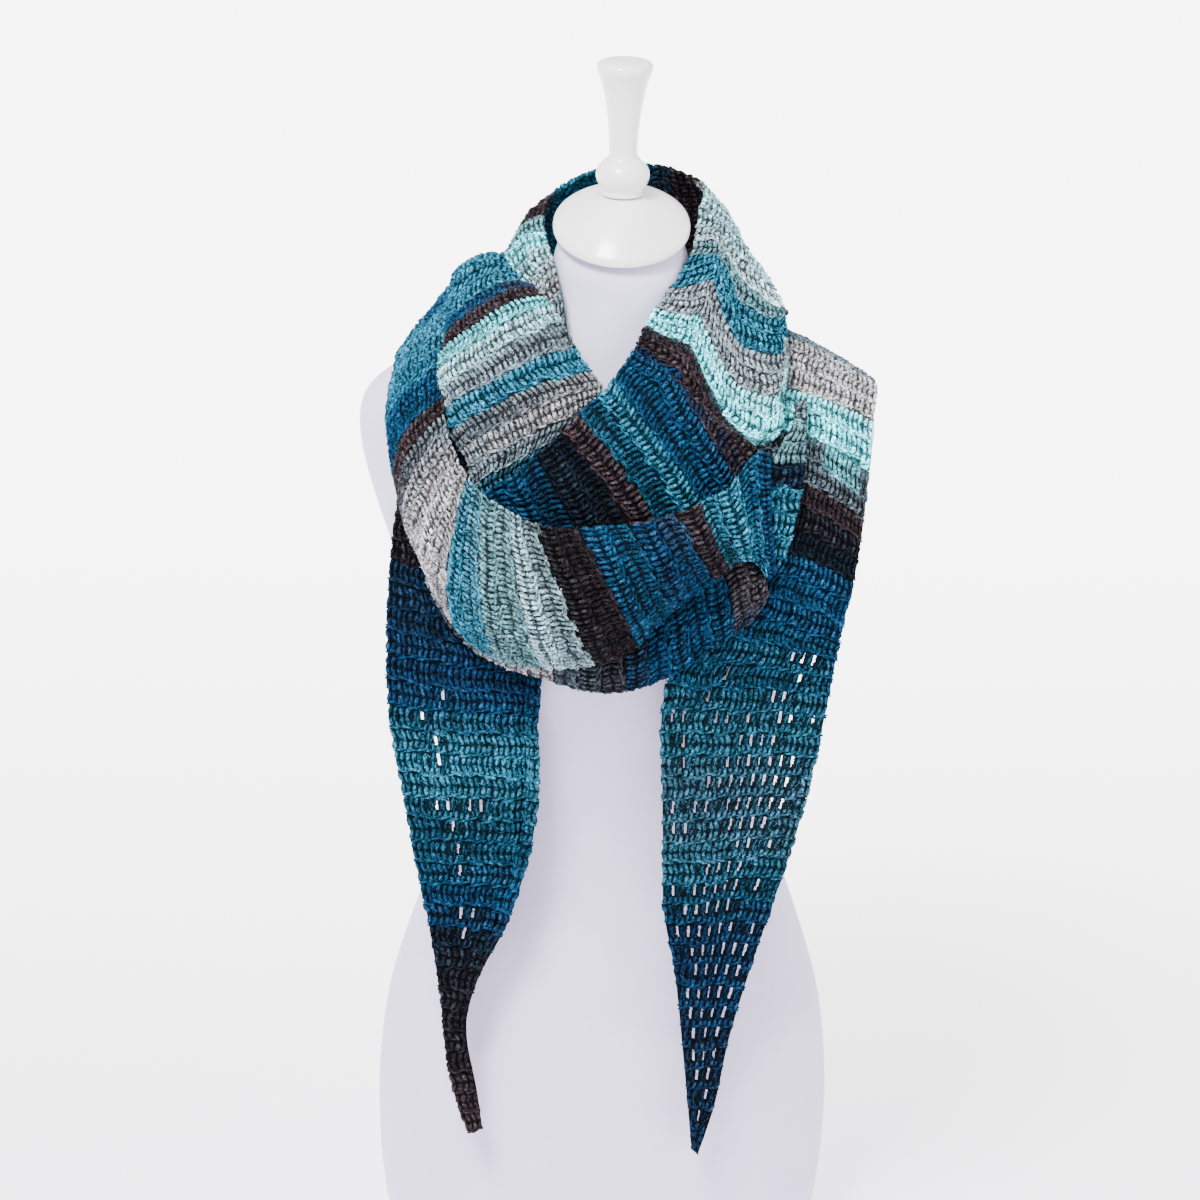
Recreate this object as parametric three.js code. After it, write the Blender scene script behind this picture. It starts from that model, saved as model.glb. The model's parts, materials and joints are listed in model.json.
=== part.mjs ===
// A crocheted shawl, a long three-cornered piece in a thick yarn, wound round the neck of a dress form.
// Its middle hangs in front as a swag and its two pointed ends hang down the chest.
//
// Sizes are in millimetres. +Z is up and the front faces -Y. The origin is the middle of the form's
// flat base. Places on the wound cloth are given round the neck's axis, which is the Z axis:
//   turn  degrees round from the front, plus towards +X
//   out   distance from the axis
//   high  height above the base

import * as THREE from "three";

const CLOTH = 4; // the thickness of a crocheted fabric in this yarn
const SEAM = 0.3; // the gap between pieces that touch
const LAYER_GAP = 0.4; // the least gap between two layers of cloth
const FORM_GAP = 0.8; // the same between cloth and form
const END_GAP = 0.8; // how far each stretch stops short of the one it runs on into
const JOINED_ROWS = 4; // how many rows from there stay as the tables have them

// The dress form

const BASE_EDGE = 8;
const NECK_TOP = 801;
const NECK_TILT_DEG = 18; // the neck is cut at a slope, lower at the front
const TILT_STARTS = 735;
const FORM_SEGMENTS = 36;
const BUST = { turn: 30, turnSpread: 17, high: 508, highSpread: 52, out: 9 };

// high, half width, depth in front of the axis, depth behind it, roundness of the section
const FORM_SECTIONS = [
  [0, 160, 101, 105, 2.2],
  [BASE_EDGE, 167, 108, 111, 2.2],
  [60, 174, 113, 118, 2.2],
  [110, 176, 114, 120, 2.2],
  [190, 169, 109, 114, 2.2],
  [265, 147, 99, 98, 2.2],
  [345, 123, 88, 82, 2.2],
  [415, 130, 95, 84, 2.2],
  [505, 149, 113, 93, 2.3],
  [560, 166, 109, 99, 2.4],
  [620, 187, 94, 102, 2.4],
  [655, 194, 80, 95, 2.3],
  [675, 191, 71, 87, 2.2],
  [693, 171, 62, 78, 2.1],
  [708, 141, 57, 70, 2.0],
  [722, 103, 54, 64, 2.0],
  [740, 67, 51, 58, 2.0],
  [765, 51, 48, 52, 2.0],
  [NECK_TOP, 47.5, 46.5, 47.5, 2.0],
];
const FORM_RINGS = [
  0, 3, 8, 40, 80, 120, 160, 200, 240, 280, 320, 360, 400, 440, 475, 510, 545, 580, 615, 640, 658, 672,
  684, 695, 705, 714, 723, 733, 748, 770, NECK_TOP,
];

// The turned cap and its handle

const CAP_RADIUS = 50.5;
const CAP_RIM = 6;
const CAP_SEAT_RADIUS = 16.5;
const CAP_HEIGHT = 26;
const FINIAL_BALL = { radius: 20, halfHeight: 15, high: 843 };
const FINIAL_TOP = 928;

const rad = THREE.MathUtils.degToRad;

// The value at x of a column of a table whose first column rises, with no overshoot between rows.
function easedColumn(table, x, column) {
  const last = table.length - 1;
  let i = 0;
  while (i < last - 1 && x > table[i + 1][0]) i += 1;
  const slope = (k) => (table[k + 1][column] - table[k][column]) / (table[k + 1][0] - table[k][0]);
  const tangent = (k) => {
    if (k === 0) return slope(0);
    if (k === last) return slope(last - 1);
    const before = slope(k - 1);
    const after = slope(k);
    return before * after <= 0 ? 0 : (2 * before * after) / (before + after);
  };
  const span = table[i + 1][0] - table[i][0];
  const t = THREE.MathUtils.clamp((x - table[i][0]) / span, 0, 1);
  const rise = (1 - t) * (1 - t) * (1 + 2 * t);
  const bend = t * (1 - t);
  return (
    table[i][column] * rise +
    table[i + 1][column] * (1 - rise) +
    span * bend * ((1 - t) * tangent(i) - t * tangent(i + 1))
  );
}

// How far the form's surface is from the axis in one direction, at one height.
function formReach(turn, high) {
  const a = rad(turn);
  const side = Math.abs(Math.sin(a)) / easedColumn(FORM_SECTIONS, high, 1);
  const depthColumn = Math.cos(a) > 0 ? 2 : 3;
  const ahead = Math.abs(Math.cos(a)) / easedColumn(FORM_SECTIONS, high, depthColumn);
  const n = easedColumn(FORM_SECTIONS, high, 4);
  const fromMound = (Math.abs(turn) - BUST.turn) / BUST.turnSpread;
  const mound = BUST.out * Math.exp(-(fromMound ** 2) - ((high - BUST.high) / BUST.highSpread) ** 2);
  return (side ** n + ahead ** n) ** (-1 / n) + mound;
}

// How far the neck's sloping cut moves a point of the form, down in front and up behind.
function neckSlope(high, y) {
  const share = THREE.MathUtils.clamp((high - TILT_STARTS) / (NECK_TOP - TILT_STARTS), 0, 1);
  return share * share * Math.tan(rad(NECK_TILT_DEG)) * y;
}

const place = (turn, out, high) =>
  new THREE.Vector3(out * Math.sin(rad(turn)), -out * Math.cos(rad(turn)), high);
const turnOf = (p) => THREE.MathUtils.radToDeg(Math.atan2(p.x, -p.y));
const outOf = (p) => Math.hypot(p.x, p.y);

// A closed solid through rings of points that all run the same way round, with a flat lid at each end.
function solidOfRings(rings) {
  const count = rings[0].length;
  const points = rings.flat();
  const faces = [];
  for (let r = 0; r < rings.length - 1; r++)
    for (let k = 0; k < count; k++) {
      const a = r * count + k;
      const b = r * count + ((k + 1) % count);
      faces.push(a, b, b + count, a, b + count, a + count);
    }
  const middle = (ring) => ring.reduce((sum, p) => sum.add(p), new THREE.Vector3()).divideScalar(count);
  const lowest = points.push(middle(rings[0])) - 1;
  const highest = points.push(middle(rings[rings.length - 1])) - 1;
  const top = (rings.length - 1) * count;
  for (let k = 0; k < count; k++) {
    const next = (k + 1) % count;
    faces.push(lowest, next, k, highest, top + k, top + next);
  }
  return new THREE.BufferGeometry().setFromPoints(points).setIndex(faces);
}

function formTorso() {
  const rings = FORM_RINGS.map((high) =>
    Array.from({ length: FORM_SEGMENTS }, (_, k) => {
      const turn = (k * 360) / FORM_SEGMENTS - 180;
      const p = place(turn, formReach(turn, high), high);
      p.z += neckSlope(high, p.y);
      return p;
    }),
  );
  return solidOfRings(rings);
}

// The cap's underside follows the neck's slope, and its top is level for the handle.
function neckCap() {
  const slope = Math.tan(rad(NECK_TILT_DEG));
  // distance from the axis, height above the neck's cut, share of the slope
  const profile = [
    [CAP_RADIUS - 1.5, 0, 1],
    [CAP_RADIUS, 1.5, 1],
    [CAP_RADIUS, CAP_RIM, 1],
    [CAP_RADIUS - 2.5, CAP_RIM + 2.5, 0.97],
    [CAP_RADIUS - 9, CAP_RIM + 8, 0.9],
    [CAP_RADIUS - 17, CAP_RIM + 13, 0.72],
    [CAP_RADIUS - 26, CAP_RIM + 17, 0.4],
    [CAP_SEAT_RADIUS + 3, CAP_HEIGHT - 2, 0.12],
    [CAP_SEAT_RADIUS, CAP_HEIGHT, 0],
  ];
  const rings = profile.map(([out, rise, share]) =>
    Array.from({ length: 28 }, (_, k) => {
      const p = place((k * 360) / 28 - 180, out, NECK_TOP + SEAM + rise);
      p.z += share * slope * p.y;
      return p;
    }),
  );
  return solidOfRings(rings);
}

// The handle: a flattened ball on a short foot, then a stem that widens to a round head.
function finial() {
  const foot = NECK_TOP + CAP_HEIGHT + 2 * SEAM;
  const { radius, halfHeight, high } = FINIAL_BALL;
  const profile = [new THREE.Vector2(0, foot), new THREE.Vector2(15, foot), new THREE.Vector2(15.5, foot + 2)];
  for (let k = 0; k <= 6; k++) {
    const a = -Math.PI * 0.25 + (Math.PI * 0.56 * k) / 6;
    profile.push(new THREE.Vector2(radius * Math.cos(a), high + halfHeight * Math.sin(a)));
  }
  profile.push(new THREE.Vector2(10, high + halfHeight + 2));
  profile.push(new THREE.Vector2(11.5, FINIAL_TOP - 45));
  profile.push(new THREE.Vector2(15, FINIAL_TOP - 24));
  profile.push(new THREE.Vector2(18.5, FINIAL_TOP - 12));
  profile.push(new THREE.Vector2(20.5, FINIAL_TOP - 9));
  profile.push(new THREE.Vector2(20.5, FINIAL_TOP - 4));
  profile.push(new THREE.Vector2(18, FINIAL_TOP - 1));
  profile.push(new THREE.Vector2(0, FINIAL_TOP));
  return new THREE.LatheGeometry(profile, 24).rotateX(Math.PI / 2);
}

// What a stretch lies on besides the form: the furthest reach of the cloth so far, by direction and
// height.

const TURN_STEP = 1;
const HIGH_STEP = 2;
const TURNS = 360 / TURN_STEP;
const HIGHS = 440;
const SPREAD_TURNS = 1; // how far a piece is felt to each side, in steps
const SPREAD_HIGHS = 1;
const FINENESS = 1; // the spacing at which a piece's surface is read

const built = new Float32Array(TURNS * HIGHS);
let carried = built.slice();

const turnIndex = (turn) => ((Math.round(turn / TURN_STEP) % TURNS) + TURNS) % TURNS;

function pass(map, merge) {
  const made = new Float32Array(map.length);
  for (let h = 0; h < HIGHS; h++)
    for (let t = 0; t < TURNS; t++) made[h * TURNS + t] = merge(map, t, h);
  return made;
}

function around(map, t, h, turns, highs, visit) {
  for (let dh = -highs; dh <= highs; dh++) {
    const row = THREE.MathUtils.clamp(h + dh, 0, HIGHS - 1);
    for (let dt = -turns; dt <= turns; dt++) visit(map[row * TURNS + ((t + dt + TURNS) % TURNS)]);
  }
}

// Adds a stretch to what the next ones lie on, then works the smooth bed out again.
function lay(geometry) {
  const p = geometry.getAttribute("position");
  const index = geometry.index.array;
  const a = new THREE.Vector3();
  const b = new THREE.Vector3();
  const c = new THREE.Vector3();
  const q = new THREE.Vector3();
  for (let i = 0; i < index.length; i += 3) {
    a.fromBufferAttribute(p, index[i]);
    b.fromBufferAttribute(p, index[i + 1]);
    c.fromBufferAttribute(p, index[i + 2]);
    const steps = Math.ceil(Math.max(a.distanceTo(b), b.distanceTo(c), c.distanceTo(a)) / FINENESS);
    for (let u = 0; u <= steps; u++)
      for (let v = 0; v <= steps - u; v++) {
        q.copy(a).multiplyScalar(1 - (u + v) / steps);
        q.addScaledVector(b, u / steps).addScaledVector(c, v / steps);
        const h = Math.round(q.z / HIGH_STEP);
        const at = h * TURNS + turnIndex(turnOf(q));
        if (h >= 0 && h < HIGHS) built[at] = Math.max(built[at], outOf(q));
      }
  }
  const widest = pass(built, (map, t, h) => {
    let most = 0;
    around(map, t, h, SPREAD_TURNS, SPREAD_HIGHS, (r) => (most = Math.max(most, r)));
    return most;
  });
  carried = pass(widest, (map, t, h) => {
    let sum = 0;
    around(map, t, h, 1, 1, (r) => (sum += r));
    return sum / 9;
  });
}

function bedAt(turn, high) {
  const t = turn / TURN_STEP;
  const h = THREE.MathUtils.clamp(high / HIGH_STEP, 0, HIGHS - 1.001);
  const t0 = Math.floor(t);
  const h0 = Math.floor(h);
  const get = (i, j) => carried[j * TURNS + (((i % TURNS) + TURNS) % TURNS)];
  const low = THREE.MathUtils.lerp(get(t0, h0), get(t0 + 1, h0), t - t0);
  const up = THREE.MathUtils.lerp(get(t0, h0 + 1), get(t0 + 1, h0 + 1), t - t0);
  return THREE.MathUtils.lerp(low, up, h - h0);
}

// Moves a point out along the form's surface until it is at least that far from the form.
function clearOfForm(p, distance) {
  const off = (x, y, z) =>
    Math.hypot(x, y) - formReach(turnOf({ x, y }), Math.min(z, NECK_TOP));
  for (let k = 0; k < 6; k++) {
    const here = off(p.x, p.y, p.z);
    const slope = new THREE.Vector3(
      off(p.x + 1, p.y, p.z) - here,
      off(p.x, p.y + 1, p.z) - here,
      off(p.x, p.y, p.z + 1) - here,
    );
    const far = here / slope.length();
    if (far >= distance) return;
    p.addScaledVector(slope.normalize(), distance - far);
  }
}

// A stretch of cloth. Each row of its table crosses the cloth and holds three places: its first edge,
// its middle and its second edge. The folds are soft ridges and troughs: where along and across, from
// 0 to 1, how long and wide, and how high.
function stretch({ rows, along, across, folds = [], runsOn = [false, false], onForm = false, gap = LAYER_GAP }) {
  const line = (k) =>
    new THREE.CatmullRomCurve3(rows.map((row) => place(row[k], row[k + 1], row[k + 2])), false, "centripetal");
  const lines = [0, 3, 6].map(line);
  const columns = Array.isArray(across) ? across : Array.from({ length: across + 1 }, (_, j) => j / across);
  const grid = Array.from({ length: along + 1 }, (_, i) => {
    const u = i / along;
    const [first, middle, second] = lines.map((curve) => curve.getPoint(u));
    return columns.map((v) => {
      const p = first.clone().multiplyScalar((1 - v) * (1 - 2 * v));
      p.addScaledVector(middle, 4 * v * (1 - v)).addScaledVector(second, v * (2 * v - 1));
      let rise = 0;
      for (const [alongAt, acrossAt, long, wide, high] of folds)
        rise += high * Math.exp(-(((u - alongAt) / long) ** 2) - ((v - acrossAt) / wide) ** 2);
      const scale = 1 + rise / outOf(p);
      return new THREE.Vector3(p.x * scale, p.y * scale, p.z);
    });
  });
  settle(grid, runsOn, onForm, gap);
  pullIn(grid);
  return wall(grid);
}

// The unit normals of a grid of points, pointing away from the axis.
function normalsOf(grid) {
  const at = (i, j) =>
    grid[THREE.MathUtils.clamp(i, 0, grid.length - 1)][THREE.MathUtils.clamp(j, 0, grid[0].length - 1)];
  const normals = grid.map((row, i) =>
    row.map((_, j) => {
      const down = at(i + 1, j).clone().sub(at(i - 1, j));
      const over = at(i, j + 1).clone().sub(at(i, j - 1));
      return down.cross(over).normalize();
    }),
  );
  let lean = 0;
  grid.forEach((row, i) => row.forEach((p, j) => (lean += p.x * normals[i][j].x + p.y * normals[i][j].y)));
  if (lean < 0) normals.flat().forEach((n) => n.negate());
  return normals;
}

// Draws both ends of the cloth in a little, so that stretches that run on into each other stay apart.
function pullIn(grid) {
  const last = grid.length - 1;
  const draw = (row, beside) =>
    row.forEach((p, j) => {
      const inward = beside[j].clone().sub(p);
      p.addScaledVector(inward, END_GAP / inward.length());
    });
  draw(grid[0], grid[1]);
  draw(grid[last], grid[last - 1]);
}

// Moves the cloth out until it lies on what is under it, and spreads each push to the cloth beside it.
// An end that runs on into another stretch stays where the tables have it.
function settle(grid, runsOn, onForm, gap) {
  grid.flat().forEach((p) => clearOfForm(p, CLOTH / 2 + FORM_GAP));
  if (onForm) return;
  const half = CLOTH / 2 + gap;
  const normals = normalsOf(grid);
  let push = grid.map((row, i) =>
    row.map((p, j) => {
      const radial = Math.abs(p.x * normals[i][j].x + p.y * normals[i][j].y) / outOf(p);
      const need = bedAt(turnOf(p), p.z) + half / Math.max(radial, 0.5);
      const share = Math.min(
        runsOn[0] ? i / JOINED_ROWS : 1,
        runsOn[1] ? (grid.length - 1 - i) / JOINED_ROWS : 1,
        1,
      );
      return share * Math.max(0, need - outOf(p));
    }),
  );
  const first = push;
  for (let k = 0; k < 4; k++)
    push = push.map((row, i) =>
      row.map((_, j) => {
        let sum = 0;
        let count = 0;
        for (let a = Math.max(0, i - 1); a <= Math.min(push.length - 1, i + 1); a++)
          for (let b = Math.max(0, j - 1); b <= Math.min(row.length - 1, j + 1); b++) {
            sum += push[a][b];
            count += 1;
          }
        return Math.max(sum / count, first[i][j]);
      }),
    );
  grid.forEach((row, i) =>
    row.forEach((p, j) => {
      const scale = 1 + push[i][j] / outOf(p);
      p.set(p.x * scale, p.y * scale, p.z);
    }),
  );
}

// A closed wall of cloth on both sides of a grid of points.
function wall(grid) {
  const normals = normalsOf(grid);
  const rows = grid.length;
  const columns = grid[0].length;
  const side = (offset) =>
    grid.flatMap((row, i) => row.map((p, j) => p.clone().addScaledVector(normals[i][j], offset)));
  const points = [...side(CLOTH / 2), ...side(-CLOTH / 2)];
  const inner = rows * columns;
  const faces = [];
  const square = (a, b, c, d) => faces.push(a, b, c, a, c, d);
  for (let i = 0; i < rows - 1; i++)
    for (let j = 0; j < columns - 1; j++) {
      const a = i * columns + j;
      square(a, a + columns, a + columns + 1, a + 1);
      square(inner + a, inner + a + 1, inner + a + columns + 1, inner + a + columns);
    }
  for (let i = 0; i < rows - 1; i++) {
    const a = i * columns;
    const b = a + columns - 1;
    square(a, inner + a, inner + a + columns, a + columns);
    square(b, b + columns, inner + b + columns, inner + b);
  }
  for (let j = 0; j < columns - 1; j++) {
    const a = j;
    const b = (rows - 1) * columns + j;
    square(a, a + 1, inner + a + 1, inner + a);
    square(b, inner + b, inner + b + 1, b + 1);
  }
  const down = points[columns].clone().sub(points[0]);
  const over = points[1].clone().sub(points[0]);
  if (down.cross(over).dot(normals[0][0]) < 0)
    for (let k = 0; k < faces.length; k += 3) [faces[k + 1], faces[k + 2]] = [faces[k + 2], faces[k + 1]];
  return new THREE.BufferGeometry().setFromPoints(points).setIndex(faces);
}

// The stretches of the shawl that show. In each row: turn, out, high of the first edge, the middle and
// the second edge. Two stretches that run on into each other share a row.

// The right end, from behind the shoulder over it and down the chest to its point.
const TAIL_RIGHT = {
  onForm: true,
  along: 38,
  across: 7,
  rows: [
    [172, 88, 726, 162, 94, 702, 154, 104, 674],
    [148, 98, 722, 138, 116, 698, 132, 138, 670],
    [126, 112, 716, 119, 142, 700, 115, 172, 678],
    [110, 114, 722, 104, 148, 708, 101, 184, 686],
    [90, 116, 724, 90, 152, 709, 90, 190, 686],
    [66, 120, 700, 74, 155, 690, 75, 193, 676],
    [50, 136, 664, 62, 160, 652, 67, 198, 624],
    [42, 146, 610, 56, 163, 602, 63, 199, 580],
    [30, 138, 558, 46, 160, 545, 58, 196, 524],
    [16, 136, 494, 41, 162, 490, 55, 195, 482],
    [16, 135, 424, 38, 155, 424, 52, 189, 420],
    [17, 134, 368, 37, 151, 370, 49, 182, 370],
    [18, 133, 319, 35, 146, 320, 46, 172, 321],
    [22, 135, 270, 33, 144, 268, 42, 161, 265],
    [25, 137, 212, 32, 144, 212, 38, 153, 211],
    [27, 140, 163, 31, 143, 160, 35, 148, 157],
    [28.5, 142, 124, 29.5, 143, 120, 30.5, 144, 116],
  ],
  folds: [[0.62, 0.7, 0.3, 0.22, -4], [0.72, 0.3, 0.25, 0.2, 4], [0.4, 0.5, 0.08, 0.3, 3]],
};

// The left end, from over the shoulder down to a point that has curled into a rope. A strip of its
// inner side is turned over, with a groove beside it.
const TAIL_LEFT = {
  onForm: true,
  along: 32,
  across: [0, 0.13, 0.27, 0.41, 0.55, 0.69, 0.79, 0.85, 0.89, 0.94, 1],
  rows: [
    [-100, 146, 709, -101, 131, 715, -102, 116, 721],
    [-78, 148, 704, -76, 132, 711, -72, 116, 717],
    [-68, 158, 664, -62, 142, 668, -54, 126, 674],
    [-64, 175, 622, -58, 154, 618, -48, 134, 612],
    [-61, 186, 575, -50, 155, 564, -37, 134, 552],
    [-59, 192, 516, -43, 152, 510, -24, 128, 506],
    [-57, 193, 456, -42, 152, 456, -23, 130, 457],
    [-55, 186, 402, -41, 150, 402, -22, 132, 403],
    [-52, 181, 348, -40, 154, 350, -25, 136, 351],
    [-49, 176, 302, -41, 158, 300, -31, 144, 298],
    [-47, 172, 262, -43, 165, 261, -37, 153, 261],
    [-45.5, 170, 232, -43, 169, 231, -39.5, 159, 230],
    [-45, 168, 206, -43, 168, 206, -40, 158, 207],
    [-43, 164, 165, -41, 164, 167, -37.5, 155, 169],
    [-39.5, 157, 129, -38, 157, 131, -36, 152, 133],
  ],
  folds: [
    [0.5, 0.85, 0.24, 0.045, -7],
    [0.5, 0.97, 0.26, 0.06, 4],
    [0.42, 0.3, 0.25, 0.25, 3],
    [0.66, 0.45, 0.12, 0.3, -3],
  ],
};

const NECK_JOIN = [-254, 58, 815, -256, 84, 796, -254, 106, 765];

// The turn round the neck, from the left of the throat round behind, standing up from the nape.
const COLLAR = {
  along: 26,
  across: 6,
  runsOn: [false, true],
  rows: [
    [-32, 69, 738, -36, 74, 729, -40, 80, 720],
    [-46, 59, 766, -49, 68, 755, -52, 76, 740],
    [-70, 52, 784, -75, 60, 779, -80, 71, 761],
    [-92, 55, 797, -96, 71, 790, -98, 85, 775],
    [-116, 62, 808, -116, 77, 799, -118, 89, 773],
    [-142, 74, 817, -142, 86, 798, -142, 94, 756],
    [-162, 81, 825, -162, 90, 797, -162, 94, 752],
    [-182, 84, 830, -182, 92, 797, -182, 95, 750],
    [-205, 84, 830, -205, 92, 799, -205, 96, 750],
    [-225, 78, 825, -225, 90, 803, -225, 99, 757],
    [-240, 69, 821, -241, 88, 803, -242, 103, 762],
    NECK_JOIN,
  ],
  folds: [[0.6, 0.45, 0.3, 0.16, 4]],
};

// The panel from the left shoulder down to the middle, its rows of stitches nearly level.
const LEFT_PANEL = {
  along: 24,
  across: 10,
  rows: [
    [-132, 85, 732, -130, 98, 728, -126, 110, 718],
    [-114, 76, 760, -113, 99, 764, -112, 118, 747],
    [-98, 73, 770, -96, 101, 777, -95, 124, 760],
    [-83, 69, 765, -82, 99, 764, -85, 129, 730],
    [-54, 71, 764, -61, 105, 758, -75, 136, 714],
    [-44, 71, 757, -50, 113, 745, -69, 141, 700],
    [-33, 72, 745, -44, 118, 734, -65, 143, 686],
    [-22, 74, 727, -38, 120, 718, -60, 143, 678],
    [-11, 77, 710, -34, 120, 702, -55, 143, 664],
    [-6, 80, 702, -28, 118, 688, -50, 141, 654],
    [-13, 86, 684, -30, 119, 672, -46, 144, 640],
    [-23, 98, 662, -33, 120, 650, -43, 146, 630],
    [-28, 102, 640, -34, 120, 632, -42, 144, 616],
  ],
  folds: [
    [0.5, 0.84, 0.25, 0.09, 6],
    [0.74, 0.66, 0.16, 0.08, -6],
    [0.8, 0.84, 0.12, 0.08, 6],
    [0.3, 0.35, 0.06, 0.3, -3],
  ],
};

const LEFT_SHOULDER_JOIN = [-104, 126, 738, -103, 146, 724, -101, 159, 706];

// The outer turn behind, from the left shoulder round to the right.
const BACK_WRAP = {
  along: 22,
  across: 7,
  runsOn: [true, false],
  rows: [
    LEFT_SHOULDER_JOIN,
    [-122, 118, 750, -121, 138, 740, -119, 148, 708],
    [-150, 104, 774, -150, 124, 750, -149, 128, 700],
    [-180, 104, 788, -180, 120, 748, -180, 116, 690],
    [-210, 106, 786, -210, 122, 752, -211, 124, 700],
    [-234, 106, 768, -235, 126, 750, -237, 139, 718],
    [-254, 101, 750, -255, 118, 739, -257, 132, 724],
  ],
  folds: [
    [0.35, 0.35, 0.25, 0.12, 5],
    [0.6, 0.65, 0.3, 0.14, -5],
    [0.55, 0.9, 0.3, 0.1, 4],
  ],
};

// A fold of the turn that goes up over the right shoulder, of which only the edge shows.
const SHOULDER_FOLD = {
  along: 20,
  across: 4,
  rows: [
    [47.5, 146, 577, 48, 148, 575, 48.5, 149, 572],
    [46, 144, 600, 49, 150, 599, 52, 155, 598],
    [47, 143, 622, 51, 151, 621, 54.5, 157, 621],
    [49, 141, 643, 53, 150, 643, 57, 159, 642],
    [53, 145, 665, 56, 152, 664, 59, 158, 663],
    [58, 148.5, 681, 60, 152, 681, 62, 154.5, 681],
    [63, 144, 694, 65.5, 146, 694, 68, 147, 694],
  ],
};

// The band from the right of the neck, down across the front into the swag. A trough runs down it, and
// beyond the trough it rises again over the right shoulder.
const CROSSING_BAND = {
  gap: 0.15,
  along: 32,
  across: 12,
  runsOn: [true, false],
  rows: [
    NECK_JOIN,
    [94, 54, 803, 98, 88, 779, 104, 112, 758],
    [78, 51, 789, 85, 88, 761, 96, 120, 745],
    [49, 50, 772, 70, 95, 737, 88, 122, 738],
    [28, 57, 761, 59, 106, 710, 79, 125, 728],
    [19, 62, 754, 52, 116, 691, 68, 130, 720],
    [12, 70, 744, 46, 124, 672, 57, 139, 692],
    [8, 75, 735, 33, 112, 692, 43, 138, 654],
    [2, 80, 724, 19, 112, 686, 34, 137, 634],
    [-6, 84, 706, 14, 113, 668, 27, 134, 621],
    [-16, 96, 691, 3, 112, 656, 18, 127, 609],
    [-23, 105, 673, -6, 115, 643, 5, 121, 601],
    [-27, 112, 666, -14, 120, 634, -5, 119, 590],
    [-33, 126, 651, -24, 128, 624, -17, 122, 590],
    [-37, 137, 643, -32, 135, 622, -28, 129, 594],
    [-41, 142, 636, -38, 139, 618, -36, 133, 596],
  ],
  folds: [
    [0.2, 0.5, 0.14, 0.07, -5],
    [0.32, 0.78, 0.1, 0.14, 7],
    [0.33, 0.26, 0.12, 0.16, 4],
    [0.75, 0.4, 0.04, 0.3, -5],
    [0.84, 0.35, 0.05, 0.3, 4],
  ],
};

// The lower turn of the swag, which shows below the outer one.
const UNDER_SWAG = {
  along: 28,
  across: 5,
  rows: [
    [-54, 168, 592, -52, 172, 581, -52, 171, 566],
    [-48, 158, 568, -44, 166, 552, -46, 164, 535],
    [-38, 147, 549, -35, 157, 531, -37, 151, 512],
    [-23, 133, 545, -21, 146, 524, -22, 137, 500],
    [-4, 124, 545, -4, 140, 520, -4, 131, 491],
    [9, 123, 557, 9, 142, 530, 10, 134, 497],
    [22, 129, 575, 20, 147, 548, 23, 142, 516],
    [31, 136, 590, 31, 151, 564, 33, 148, 535],
    [37, 146.5, 602, 37, 157.5, 575, 39, 155.5, 546],
    [44, 154.5, 598, 43, 159.5, 581, 44, 158.5, 563],
  ],
  folds: [
    [0.84, 0.55, 0.08, 0.4, 5],
    [0.7, 0.5, 0.05, 0.4, -3],
    [0.3, 0.5, 0.1, 0.4, -3],
  ],
};

// The outer turn in front, from the left shoulder round to the right. Its first edge is the lip.
const SWAG = {
  along: 46,
  across: 9,
  runsOn: [true, false],
  rows: [
    LEFT_SHOULDER_JOIN,
    [-86, 134, 730, -86, 153, 714, -84, 165, 700],
    [-75, 141, 718, -76, 167, 692, -75, 171, 674],
    [-67, 144, 701, -68, 174, 670, -66, 175, 648],
    [-61, 147, 688, -60, 178, 658, -61, 177, 620],
    [-53, 151, 673, -54, 183, 638, -56, 179, 601],
    [-47, 155, 659, -47, 187, 616, -50, 177, 580],
    [-42, 159, 651, -40, 189, 597, -43, 168, 545],
    [-37, 162, 644, -33, 187, 578, -35, 156, 521],
    [-28, 165, 636, -23, 184, 567, -23, 147, 514],
    [-21, 167, 630, -12, 181, 568, -8, 144, 518],
    [-13, 167, 628, -4, 180, 580, 3, 147, 526],
    [-4, 166, 631, 3, 180, 592, 10, 151, 545],
    [6, 167, 634, 11, 179, 606, 18, 154, 567],
    [14, 167, 640, 18, 178, 617, 26, 160, 584],
    [22, 164, 646, 24, 175, 624, 31, 163, 592],
    [28, 161, 652, 29, 172, 628, 35, 162, 596],
    [35, 157, 666, 34, 170, 633, 39, 163, 591],
    [41, 155, 674, 39, 166, 631, 43, 162, 578],
    [45, 154, 668, 43, 162, 627, 45, 160, 583],
  ],
  folds: [
    [0.5, 0.1, 0.12, 0.08, 4],
    [0.36, 0.3, 0.05, 0.2, -3],
    [0.755, 0.45, 0.02, 0.5, 4],
    [0.8, 0.6, 0.018, 0.6, -6],
    [0.86, 0.4, 0.03, 0.5, 4],
  ],
};

// Colours as they show: the yarn changes slowly, so each stretch has the one that it shows most.
const FINISHES = {
  form_jersey: { color: 0xe9e8f0, roughness: 0.85 },
  painted_wood: { color: 0xf4f3f0, roughness: 0.35 },
  deep_blue: { color: 0x134a6c, roughness: 0.9 },
  teal: { color: 0x2d7587, roughness: 0.9 },
  pale_grey: { color: 0x9aaaa9, roughness: 0.9 },
  sea_green: { color: 0x6fb3b4, roughness: 0.9 },
  brown: { color: 0x4a4246, roughness: 0.9 },
};

const model = new THREE.Group();

function add(name, geometry, finish) {
  const { color, roughness } = FINISHES[finish];
  const material = new THREE.MeshStandardMaterial({ color, roughness, metalness: 0 });
  const mesh = new THREE.Mesh(geometry, material);
  mesh.name = name;
  model.add(mesh);
}

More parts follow.
